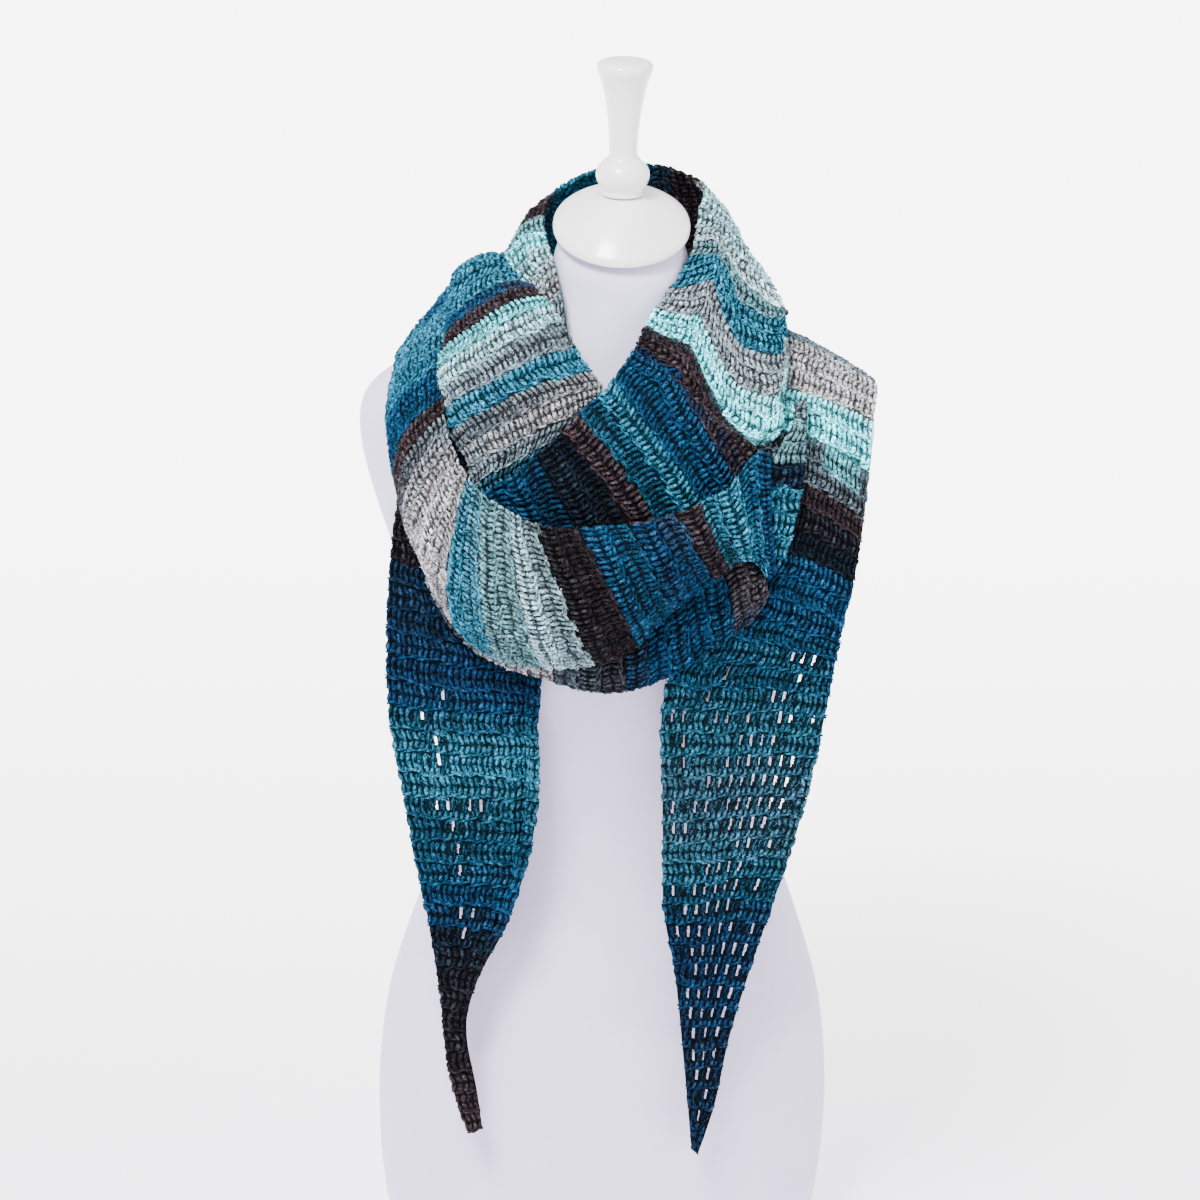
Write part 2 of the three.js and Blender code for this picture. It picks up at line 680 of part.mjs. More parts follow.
function addStretch(name, description, finish) {
  const geometry = stretch(description);
  lay(geometry);
  add(name, geometry, finish);
}

add("form_torso", formTorso(), "form_jersey");
add("neck_cap", neckCap(), "painted_wood");
add("finial", finial(), "painted_wood");
addStretch("tail_right", TAIL_RIGHT, "deep_blue");
addStretch("tail_left", TAIL_LEFT, "deep_blue");
addStretch("collar", COLLAR, "pale_grey");
addStretch("left_panel", LEFT_PANEL, "pale_grey");
addStretch("back_wrap", BACK_WRAP, "teal");
addStretch("shoulder_fold", SHOULDER_FOLD, "sea_green");
addStretch("crossing_band", CROSSING_BAND, "teal");
addStretch("under_swag", UNDER_SWAG, "brown");
addStretch("swag", SWAG, "sea_green");

export default model;
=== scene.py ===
"""Looks for a crocheted shawl that is wound round the neck of a limbless dress form."""

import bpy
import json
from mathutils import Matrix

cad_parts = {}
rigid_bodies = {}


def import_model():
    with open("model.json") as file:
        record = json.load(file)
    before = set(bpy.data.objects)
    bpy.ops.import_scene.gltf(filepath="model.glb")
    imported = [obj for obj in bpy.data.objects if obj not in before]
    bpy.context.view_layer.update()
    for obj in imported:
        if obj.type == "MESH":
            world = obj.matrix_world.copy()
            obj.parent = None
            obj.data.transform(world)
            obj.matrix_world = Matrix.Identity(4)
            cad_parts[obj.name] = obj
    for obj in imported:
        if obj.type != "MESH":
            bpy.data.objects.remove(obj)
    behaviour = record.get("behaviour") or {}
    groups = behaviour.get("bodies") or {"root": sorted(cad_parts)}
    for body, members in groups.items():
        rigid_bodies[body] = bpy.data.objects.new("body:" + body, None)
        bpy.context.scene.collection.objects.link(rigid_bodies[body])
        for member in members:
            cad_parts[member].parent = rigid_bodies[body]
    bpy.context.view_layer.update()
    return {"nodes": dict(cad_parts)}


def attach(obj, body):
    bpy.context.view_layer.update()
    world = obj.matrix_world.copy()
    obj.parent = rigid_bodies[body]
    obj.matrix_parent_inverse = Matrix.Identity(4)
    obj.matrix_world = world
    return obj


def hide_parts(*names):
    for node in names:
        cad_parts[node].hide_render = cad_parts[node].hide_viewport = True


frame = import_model()

import json
import logging
import math
from dataclasses import dataclass
from enum import Enum
from typing import Optional, Sequence, Union

import bmesh
import bpy
import numpy as np
from mathutils import Vector
from mathutils.bvhtree import BVHTree

log = logging.getLogger("shawl")

MM = 0.001

# These are in millimetres, but for the first and the last.
STRAND_SIDES = 4  # of a strand of yarn, shaded round
STITCH_WIDE = 8.4  # along a row of stitches
ROW_TALL = 17.0  # from one row of stitches to the next
CLOTH_REACH = 2.0  # from the middle of the cloth to the solids' outer face
BACKING = 0.55  # half the thickness of the sheet that carries the stitches
SLIT_REACH = 0.9  # from a slit's middle to its side
SLIT_LEAN = 0.14  # how far a slit leans over, in stitches a row

Point = tuple[float, float, float]
Key = Union[str, int]


class Tone(Enum):
    """The yarn's colours."""

    MINT = (0.13, 0.69, 0.77)
    MINT_GREY = (0.24, 0.43, 0.47)
    LIGHT_GREY = (0.19, 0.225, 0.25)
    ICE = (0.36, 0.53, 0.57)
    GREY = (0.12, 0.155, 0.18)
    PALE_GREY = (0.21, 0.32, 0.355)
    DARK_GREY = (0.05, 0.068, 0.082)
    BEIGE = (0.215, 0.21, 0.22)
    TAN = (0.34, 0.33, 0.34)
    BROWN = (0.024, 0.015, 0.018)
    BROWN_GREY = (0.032, 0.028, 0.034)
    DARK_BROWN = (0.009, 0.006, 0.0078)
    TEAL = (0.017, 0.115, 0.18)
    TEAL_GREY = (0.018, 0.062, 0.096)
    TEAL_BLUE = (0.005, 0.038, 0.07)
    BLUE = (0.0025, 0.030, 0.074)
    DARK_BLUE = (0.003, 0.009, 0.02)
    DEEP_BLUE = (0.0022, 0.018, 0.050)
    BLUE_BLACK = (0.0025, 0.005, 0.01)
    NAVY = (0.003, 0.013, 0.034)
    SEA_GREEN = (0.075, 0.165, 0.18)
    DEEP_TEAL = (0.011, 0.062, 0.098)
    CHARCOAL = (0.0045, 0.0055, 0.009)


@dataclass(frozen=True)
class YarnFinish:
    """The soft, slightly hairy surface of the yarn."""

    name: str = "brushed_yarn"
    roughness: float = 0.92
    gloss: float = 0.06
    fibre_rise: float = 0.00035
    # The tip colour is a painted highlight, added to the yarn where its light value runs past 1, most at
    # the fibres' tips.
    tip: Point = (0.035, 0.07, 0.09)


@dataclass(frozen=True)
class CoverFinish:
    """A plain cover with soft patches of shade and a fine relief."""

    name: str
    colour: Point
    roughness: float
    patches: float
    shades: tuple[float, float]
    relief: float
    rise: float
    sheen: float = 0.0
    coat: float = 0.0
    squeeze: Point = (1.0, 1.0, 1.0)


# The fine white knit on the form, and the glossy white paint on the cap and the handle.
JERSEY = CoverFinish(
    name="form_jersey", colour=(0.60, 0.57, 0.76), roughness=0.85, patches=22.0,
    shades=(0.96, 1.03), relief=1100.0, rise=0.0001, sheen=0.2, squeeze=(1.0, 1.0, 0.35),
)
PAINT = CoverFinish(
    name="painted_wood", colour=(0.83, 0.83, 0.83), roughness=0.28, patches=30.0,
    shades=(0.97, 1.02), relief=160.0, rise=0.00004, coat=0.4,
)


@dataclass(frozen=True)
class FloorFinish:
    """The pale floor and the painted glow on part of it, which grows along the floor's depth."""

    name: str = "pale_floor"
    colour: Point = (0.96, 0.87, 0.96)
    roughness: float = 0.8
    glow: float = 5.5
    glow_starts: float = -1.2
    glow_full: float = 2.4


class Wiring:
    """A node tree, with short ways to add its nodes and to join them."""

    def __init__(self, tree: bpy.types.NodeTree) -> None:
        """Takes the tree to fill.

        Args:
            tree: the node tree.
        """
        self.tree = tree

    def sockets(self, inputs: dict[str, str], outputs: dict[str, str]) -> dict[str, str]:
        """Gives the tree its own sockets.

        Args:
            inputs: the kind of each input by name.
            outputs: the kind of each output by name.

        Returns:
            The identifier of each input by name.
        """
        made = {
            name: self.tree.interface.new_socket(name=name, in_out="INPUT", socket_type=kind).identifier
            for name, kind in inputs.items()
        }
        for name, kind in outputs.items():
            self.tree.interface.new_socket(name=name, in_out="OUTPUT", socket_type=kind)
        return made

    def add(
        self, kind: str, values: Optional[dict[Key, object]] = None, **settings: object
    ) -> bpy.types.Node:
        """Adds a node.

        Args:
            kind: the node's type.
            values: what its inputs are set to.
            settings: its own settings.

        Returns:
            The node.
        """
        node = self.tree.nodes.new(kind)
        for name, value in settings.items():
            setattr(node, name, value)
        self.fill(node, values or {})
        return node

    @staticmethod
    def fill(node: bpy.types.Node, values: dict[Key, object]) -> None:
        """Sets inputs of a node."""
        for name, value in values.items():
            node.inputs[name].default_value = value

    def group(self, tree: bpy.types.NodeTree, **values: object) -> bpy.types.Node:
        """Adds a shared shader group with its values."""
        return self.add("ShaderNodeGroup", values, node_tree=tree)

    def join(self, source: bpy.types.Node, output: Key, target: bpy.types.Node, given: Key) -> None:
        """Joins an output of one node to an input of another."""
        self.tree.links.new(source.outputs[output], target.inputs[given])

    def link(self, source: bpy.types.NodeSocket, target: bpy.types.NodeSocket) -> None:
        """Joins two sockets."""
        self.tree.links.new(source, target)

    @staticmethod
    def live(sockets: Sequence[bpy.types.NodeSocket], name: Optional[str] = None) -> bpy.types.NodeSocket:
        """The first socket in use, or the first of that name, of a node with many kinds of socket."""
        return next(socket for socket in sockets if socket.enabled and name in (None, socket.name))


class ShaderParts:
    """Shader node groups that more than one material uses."""

    def __init__(self) -> None:
        """Builds the groups once."""
        self.mottle = self._mottle()
        self.fibres = self._fibres()

    @staticmethod
    def _mottle() -> bpy.types.NodeTree:
        """A colour that drifts between a light and a dark shade of itself."""
        w = Wiring(bpy.data.node_groups.new("mottle", "ShaderNodeTree"))
        numbers = dict.fromkeys(("Fineness", "Dark", "Light"), "NodeSocketFloat")
        w.sockets(
            {"Colour": "NodeSocketColor", "Place": "NodeSocketVector", **numbers},
            {"Colour": "NodeSocketColor"},
        )
        given, out = w.add("NodeGroupInput"), w.add("NodeGroupOutput")
        noise = w.add("ShaderNodeTexNoise", {"Detail": 3.0})
        spread = w.add("ShaderNodeMapRange", {"From Min": 0.36, "From Max": 0.64})
        scale = w.add("ShaderNodeVectorMath", operation="SCALE")
        w.join(given, "Place", noise, "Vector")
        w.join(given, "Fineness", noise, "Scale")
        w.join(noise, "Fac", spread, "Value")
        w.join(given, "Dark", spread, "To Min")
        w.join(given, "Light", spread, "To Max")
        w.join(given, "Colour", scale, 0)
        w.join(spread, "Result", scale, "Scale")
        w.join(scale, "Vector", out, "Colour")
        return w.tree

    @staticmethod
    def _fibres() -> bpy.types.NodeTree:
        """The small relief of spun or knitted fibres, as a normal."""
        w = Wiring(bpy.data.node_groups.new("fibres", "ShaderNodeTree"))
        w.sockets(
            {"Place": "NodeSocketVector", "Fineness": "NodeSocketFloat", "Rise": "NodeSocketFloat"},
            {"Normal": "NodeSocketVector"},
        )
        given, out = w.add("NodeGroupInput"), w.add("NodeGroupOutput")
        noise = w.add("ShaderNodeTexNoise", {"Detail": 4.0, "Roughness": 0.65})
        bump = w.add("ShaderNodeBump")
        w.join(given, "Place", noise, "Vector")
        w.join(given, "Fineness", noise, "Scale")
        w.join(noise, "Fac", bump, "Height")
        w.join(given, "Rise", bump, "Distance")
        w.join(bump, "Normal", out, "Normal")
        return w.tree


class Materials:
    """The three materials of the object and the floor's."""

    def __init__(self, parts: ShaderParts) -> None:
        """Builds each material.

        Args:
            parts: the shared shader groups.
        """
        self.parts = parts
        self.yarn = self._yarn(YarnFinish())
        self.jersey = self._cover(JERSEY)
        self.paint = self._cover(PAINT)
        self.floor = self._floor(FloorFinish())

    @staticmethod
    def _start(name: str) -> tuple[bpy.types.Material, Wiring, bpy.types.Node, bpy.types.Node]:
        """A new material with its wiring, its main shader and the place on the object."""
        material = bpy.data.materials.new(name)
        material.use_nodes = True
        w = Wiring(material.node_tree)
        return material, w, w.tree.nodes["Principled BSDF"], w.add("ShaderNodeTexCoord")

    def _yarn(self, finish: YarnFinish) -> bpy.types.Material:
        """Yarn whose colour is painted on the stitches and drifts a little along each strand, times a
        light value that holds painted shade deep in the cloth and a painted highlight at the fibres'
        tips.
        """
        material, w, shader, where = self._start(finish.name)
        w.fill(shader, {"Roughness": finish.roughness, "Specular IOR Level": finish.gloss})
        tint = w.add("ShaderNodeAttribute", attribute_name="tint")
        lit = w.add("ShaderNodeAttribute", attribute_name="light")
        # Painted highlight: the tip colour, added as the light value runs past 1.
        past = w.add("ShaderNodeMapRange", {"From Min": 1.0, "From Max": 2.0})
        tip = w.add("ShaderNodeVectorMath", {0: finish.tip}, operation="SCALE")
        shaded = w.add("ShaderNodeVectorMath", operation="SCALE")
        whole = w.add("ShaderNodeVectorMath")
        broad = w.group(self.parts.mottle, Fineness=240.0, Dark=0.55, Light=1.5)
        fine = w.group(self.parts.mottle, Fineness=620.0, Dark=0.2, Light=2.0)
        relief = w.group(self.parts.fibres, Fineness=1400.0, Rise=finish.fibre_rise)
        w.join(tint, "Color", shaded, 0)
        w.join(lit, "Fac", shaded, "Scale")
        w.join(lit, "Fac", past, "Value")
        w.join(past, "Result", tip, "Scale")
        w.join(shaded, "Vector", whole, 0)
        w.join(tip, "Vector", whole, 1)
        w.join(whole, "Vector", broad, "Colour")
        w.join(broad, "Colour", fine, "Colour")
        for node in (broad, fine, relief):
            w.join(where, "Object", node, "Place")
        w.join(fine, "Colour", shader, "Base Color")
        w.join(relief, "Normal", shader, "Normal")
        return material

    def _cover(self, finish: CoverFinish) -> bpy.types.Material:
        """A plain cover, such as knitted jersey or brushed paint."""
        material, w, shader, where = self._start(finish.name)
        w.fill(shader, {
            "Roughness": finish.roughness,
            "Sheen Weight": finish.sheen,
            "Coat Weight": finish.coat,
        })
        plain, (dark, light) = (*finish.colour, 1.0), finish.shades
        turned = w.add("ShaderNodeMapping", {"Scale": finish.squeeze})
        colour = w.group(self.parts.mottle, Colour=plain, Fineness=finish.patches, Dark=dark, Light=light)
        relief = w.group(self.parts.fibres, Fineness=finish.relief, Rise=finish.rise)
        w.join(where, "Object", turned, "Vector")
        w.join(where, "Object", colour, "Place")
        w.join(turned, "Vector", relief, "Place")
        w.join(colour, "Colour", shader, "Base Color")
        w.join(relief, "Normal", shader, "Normal")
        return material

    def _floor(self, finish: FloorFinish) -> bpy.types.Material:
        """The plain pale floor, with a painted glow that is stronger behind the object."""
        material, w, shader, where = self._start(finish.name)
        w.fill(shader, {
            "Base Color": (*finish.colour, 1.0),
            "Roughness": finish.roughness,
            "Emission Strength": finish.glow,
        })
        apart = w.add("ShaderNodeSeparateXYZ")
        ends = {"From Min": finish.glow_starts, "From Max": finish.glow_full}
        glow = w.add("ShaderNodeMapRange", ends, interpolation_type="SMOOTHSTEP")
        w.join(where, "Object", apart, "Vector")
        w.join(apart, "Y", glow, "Value")
        w.join(glow, "Result", shader, "Emission Color")
        return material


def mesh_object(name: str, points: np.ndarray, faces: Sequence[Sequence[int]]) -> bpy.types.Object:
    """A new smooth mesh object at the origin.

    Args:
        name: the object's name.
        points: its points, in metres.
        faces: the points of each face.

    Returns:
        The object, linked to the scene.
    """
    mesh = bpy.data.meshes.new(name)
    mesh.from_pydata(points.tolist(), [], faces, shade_flat=False)
    mesh.update()
    return linked(mesh, name)


def linked(mesh: bpy.types.Mesh, name: str) -> bpy.types.Object:
    """An object for a mesh, linked to the scene."""
    made = bpy.data.objects.new(name, mesh)
    bpy.context.scene.collection.objects.link(made)
    return made


def point_values(mesh: bpy.types.Mesh, name: str, kind: str, values: np.ndarray) -> None:
    """Gives a mesh a named value at each point.

    Args:
        mesh: the mesh.
        name: the value's name.
        kind: the kind of value.
        values: one for each point.
    """
    field = {"FLOAT_VECTOR": "vector", "FLOAT_COLOR": "color"}.get(kind, "value")
    mesh.attributes.new(name, kind, "POINT").data.foreach_set(field, np.asarray(values).ravel())


def with_alpha(colours: np.ndarray) -> np.ndarray:
    """Rows of colour with a full fourth channel."""
    return np.hstack([colours, np.ones((len(colours), 1))])


def walked(points: np.ndarray) -> np.ndarray:
    """How far along a line of points each one is."""
    return np.concatenate([[0], np.cumsum(np.linalg.norm(np.diff(points, axis=0), axis=1))])


def centripetal(points: np.ndarray, count: int) -> np.ndarray:
    """Places along a centripetal Catmull-Rom curve.

    Args:
        points: the points that it runs through, one a row.
        count: how many places.

    Returns:
        One place a row, at even steps of the curve's parameter.
    """
    p = np.vstack([2 * points[0] - points[1], points, 2 * points[-1] - points[-2]])
    spans = np.maximum(np.linalg.norm(np.diff(p, axis=0), axis=1) ** 0.5, 1e-4)
    at = np.linspace(0, len(points) - 1, count)
    i = np.minimum(at.astype(int), len(points) - 2)
    w = (at - i)[:, None]
    p0, p1, p2, p3 = (p[i + k] for k in range(4))
    d0, d1, d2 = (spans[i + k][:, None] for k in range(3))
    t1 = ((p1 - p0) / d0 - (p2 - p0) / (d0 + d1) + (p2 - p1) / d1) * d1
    t2 = ((p2 - p1) / d1 - (p3 - p1) / (d1 + d2) + (p3 - p2) / d2) * d1
    return p1 + t1 * w + (3 * (p2 - p1) - 2 * t1 - t2) * w**2 + (2 * (p1 - p2) + t1 + t2) * w**3


def box_smooth(values: np.ndarray, rounds: int) -> np.ndarray:
    """Evens out a grid of numbers with its neighbours, some rounds over."""
    for _ in range(rounds):
        wide = np.pad(values, 1, mode="edge")
        values = sum(
            wide[a : a + values.shape[0], b : b + values.shape[1]] for a in range(3) for b in range(3)
        ) / 9
    return values


def grid_normals(grid: np.ndarray) -> np.ndarray:
    """The unit normals of a grid of points, pointing away from the neck's axis."""
    down, over = np.gradient(grid, axis=0), np.gradient(grid, axis=1)
    normals = np.cross(down, over)
    normals /= np.maximum(np.linalg.norm(normals, axis=2, keepdims=True), 1e-12)
    lean = (grid[..., :2] * normals[..., :2]).sum()
    return normals if lean > 0 else -normals


def slanted(along: np.ndarray, across: np.ndarray, slant: Sequence[tuple[float, float]]) -> np.ndarray:
    """Shares of the length, counted along rows that run ahead in parts of the width.

    Args:
        along: shares of the length.
        across: shares of the width.
        slant: how far the rows run ahead, by share of the width.

    Returns:
        The shares in rows.
    """
    full_from, fades_to, fade = 0.12, 0.62, 0.2
    ahead = np.interp(across, *np.array(slant).T)
    return along + ahead * np.clip(along / full_from, 0, 1) * np.clip((fades_to - along) / fade, 0, 1)


class Cloth:
    """The middle surface of one stretch, an even net of points on the solids' own surface."""

    RAW_NET = (181, 45)  # places along and across, before they are evened out
    STEP = 0.0035  # along the even net
    ACROSS = 41  # places across the even net
    SEARCH_FROM = 0.014  # how far above the surface the solid is looked for
    SEARCH_DEPTH = 0.03

    def __init__(
        self, rows: Sequence[Sequence[float]], folds: Sequence[Sequence[float]], node: str
    ) -> None:
        """Lays the surface out.

        Args:
            rows: the sections, with turn, out and high of three places in each.
            folds: soft ridges, with place, size and height.
            node: the solid that the surface follows.
        """
        raw = self._through_sections(np.array(rows, float), folds)
        normals = grid_normals(raw)
        rise = self._to_solid(raw, normals, node)
        raw = raw + normals * (rise - CLOTH_REACH * MM)[..., None]
        self.length = float(walked(raw[:, raw.shape[1] // 2])[-1])
        self.points = self._even(raw)
        self.normals = grid_normals(self.points)
        self.widths = np.linalg.norm(np.diff(self.points, axis=1), axis=2).sum(axis=1)

    @property
    def area(self) -> float:
        """The surface's area in square metres."""
        down, over = np.diff(self.points, axis=0)[:, :-1], np.diff(self.points, axis=1)[:-1]
        return float(np.linalg.norm(np.cross(down, over), axis=2).sum())

    def _through_sections(self, rows: np.ndarray, folds: Sequence[Sequence[float]]) -> np.ndarray:
        """A net of points through the sections, folds and all."""
        turns = np.radians(rows[:, 0::3])
        out, high = rows[:, 1::3] * MM, rows[:, 2::3] * MM
        places = np.stack([out * np.sin(turns), -out * np.cos(turns), high], axis=2)
        down, over = self.RAW_NET
        first, middle, second = (centripetal(places[:, k], down) for k in range(3))
        v = np.linspace(0, 1, over)[None, :, None]
        grid = first[:, None] * (1 - v) * (1 - 2 * v)
        grid = grid + middle[:, None] * 4 * v * (1 - v) + second[:, None] * v * (2 * v - 1)
        u = np.linspace(0, 1, down)[:, None]
        rise = np.zeros(grid.shape[:2])
        for along, across, long, wide, high_by in folds:
            off_along, off_across = (u - along) / long, (v[..., 0] - across) / wide
            rise += high_by * MM * np.exp(-(off_along**2) - off_across**2)
        reach = np.hypot(grid[..., 0], grid[..., 1])
        grid[..., :2] *= (1 + rise / reach)[..., None]
        return grid

    def _to_solid(self, grid: np.ndarray, normals: np.ndarray, node: str) -> np.ndarray:
        """How far each point is below the solid's outer face, evened out."""
        facing, fill_rounds, smooth_rounds = 0.3, 60, 10
        solid = frame["nodes"][node].data
        faces = [tuple(face.vertices) for face in solid.polygons]
        tree = BVHTree.FromPolygons([v.co for v in solid.vertices], faces)
        found = np.full(grid.shape[:2], np.nan)
        for i, j in np.ndindex(found.shape):
            start, way = Vector(grid[i, j]), Vector(normals[i, j])
            hit, face, _, _ = tree.ray_cast(start + way * self.SEARCH_FROM, -way, self.SEARCH_DEPTH)
            if hit is not None and face.dot(way) > facing:
                found[i, j] = (hit - start).dot(way)
        known = ~np.isnan(found)
        filled = np.where(known, found, np.nanmedian(found))
        for _ in range(fill_rounds):
            filled = np.where(known, found, box_smooth(filled, 1))
        return box_smooth(filled, smooth_rounds)

    def _even(self, raw: np.ndarray) -> np.ndarray:
        """The same surface with its points evenly spaced, along its middle and across each section."""
        passed = walked(raw[:, raw.shape[1] // 2])
        steps = max(24, round(self.length / self.STEP))
        at = np.interp(np.linspace(0, passed[-1], steps + 1), passed, np.arange(len(passed)))
        low = np.minimum(at.astype(int), len(passed) - 2)
        share = (at - low)[:, None, None]
        made = []
        for row in raw[low] * (1 - share) + raw[low + 1] * share:
            across = walked(row)
            even = np.linspace(0, across[-1], self.ACROSS)
            made.append(np.stack([np.interp(even, across, row[:, k]) for k in range(3)], axis=1))
        return np.array(made)

    def carrier(
        self, name: str, slant: Sequence[tuple[float, float]], side: float = 1.0
    ) -> bpy.types.Object:
        """The bare surface with its flat map and its outward directions, for the stitches to follow.

        Args:
            name: the surface's name.
            slant: how far the rows run ahead, by share of the width.
            side: 1 for stitches on the outer face, below zero for the inner one.

        Returns:
            The surface.
        """
        rows, columns = self.points.shape[:2]
        faces = [
            (i * columns + j, (i + 1) * columns + j, (i + 1) * columns + j + 1, i * columns + j + 1)
            for i in range(rows - 1)
            for j in range(columns - 1)
        ]
        made = mesh_object(name, self.points.reshape(-1, 3), faces)
        flat = made.data.uv_layers.new(name="flat")
        along, across = np.divmod(np.array(faces).ravel(), columns)
        across, along = across / (columns - 1), along / (rows - 1)
        flat.data.foreach_set("uv", np.stack([across, slanted(along, across, slant)], axis=1).ravel())
        point_values(made.data, "out", "FLOAT_VECTOR", (self.normals * side).astype(np.float32))
        return made

    def sample(self, along: np.ndarray, across: np.ndarray) -> tuple[np.ndarray, np.ndarray]:
        """Points and normals at shares of the length and of the width."""
        rows, columns = self.points.shape[:2]
        a, b = np.clip(along, 0, 1) * (rows - 1), np.clip(across, 0, 1) * (columns - 1)
        i, j = np.minimum(a.astype(int), rows - 2), np.minimum(b.astype(int), columns - 2)
        s, t = (a - i)[..., None], (b - j)[..., None]

        def mixed(net: np.ndarray) -> np.ndarray:
            """The net's values between its points."""
            near = net[i, j] * (1 - t) + net[i, j + 1] * t
            far = net[i + 1, j] * (1 - t) + net[i + 1, j + 1] * t
            return near * (1 - s) + far * s

        return mixed(self.points), mixed(self.normals)


class Lie(Enum):
    """How a stitch lies in its row."""

    LEANS_RIGHT = 0
    LEANS_LEFT = 1
    OPEN = 2


@dataclass
class Strand:
    """A piece of yarn in a stitch: its middle line and how thick and how light it is."""

    path: np.ndarray
    radius: float
    light: float = 1.0

    def rings(self) -> np.ndarray:
        """The points round the strand, ring by ring, thinner at both ends."""
        off_axis = [0.13, 0.21, 1.0]
        ways = np.gradient(self.path, axis=0)
        ways /= np.linalg.norm(ways, axis=1, keepdims=True)
        aside = np.cross(ways, off_axis)
        aside /= np.linalg.norm(aside, axis=1, keepdims=True)
        above = np.cross(aside, ways)
        girth = self.radius * (0.6 + 0.4 * np.sin(np.pi * np.linspace(0, 1, len(self.path))))
        return np.array([
            p + girth[k] * (math.cos(a) * aside[k] + math.sin(a) * above[k])
            for k, p in enumerate(self.path)
            for a in np.linspace(0, 2 * math.pi, STRAND_SIDES, endpoint=False)
        ])

    def shades(self) -> np.ndarray:
        """How light the strand is at each point: its own tone, with painted shade that darkens it deep in
        the cloth.
        """
        darkest_painted_shade, dark_below, gain = 0.14, -0.8, 0.36
        height = self.rings()[:, 2]
        # Painted shade: the lower the point in the cloth, the darker, down to the darkest share.
        return self.light * np.clip(darkest_painted_shade + (height - dark_below) * gain, darkest_painted_shade, 1.0)

    def faces(self, start: int) -> list[tuple[int, ...]]:
        """The faces between the rings and at both ends.

        Args:
            start: how many points are there before it.

        Returns:
            The points of each face.
        """
        sides = range(STRAND_SIDES)
        last = start + (len(self.path) - 1) * STRAND_SIDES
        made = []
        for near in range(start, last, STRAND_SIDES):
            far = near + STRAND_SIDES
            for s in sides:
                beside = (s + 1) % STRAND_SIDES
                made.append((near + s, near + beside, far + beside, far + s))
        return [*made, tuple(start + s for s in reversed(sides)), tuple(last + s for s in sides)]


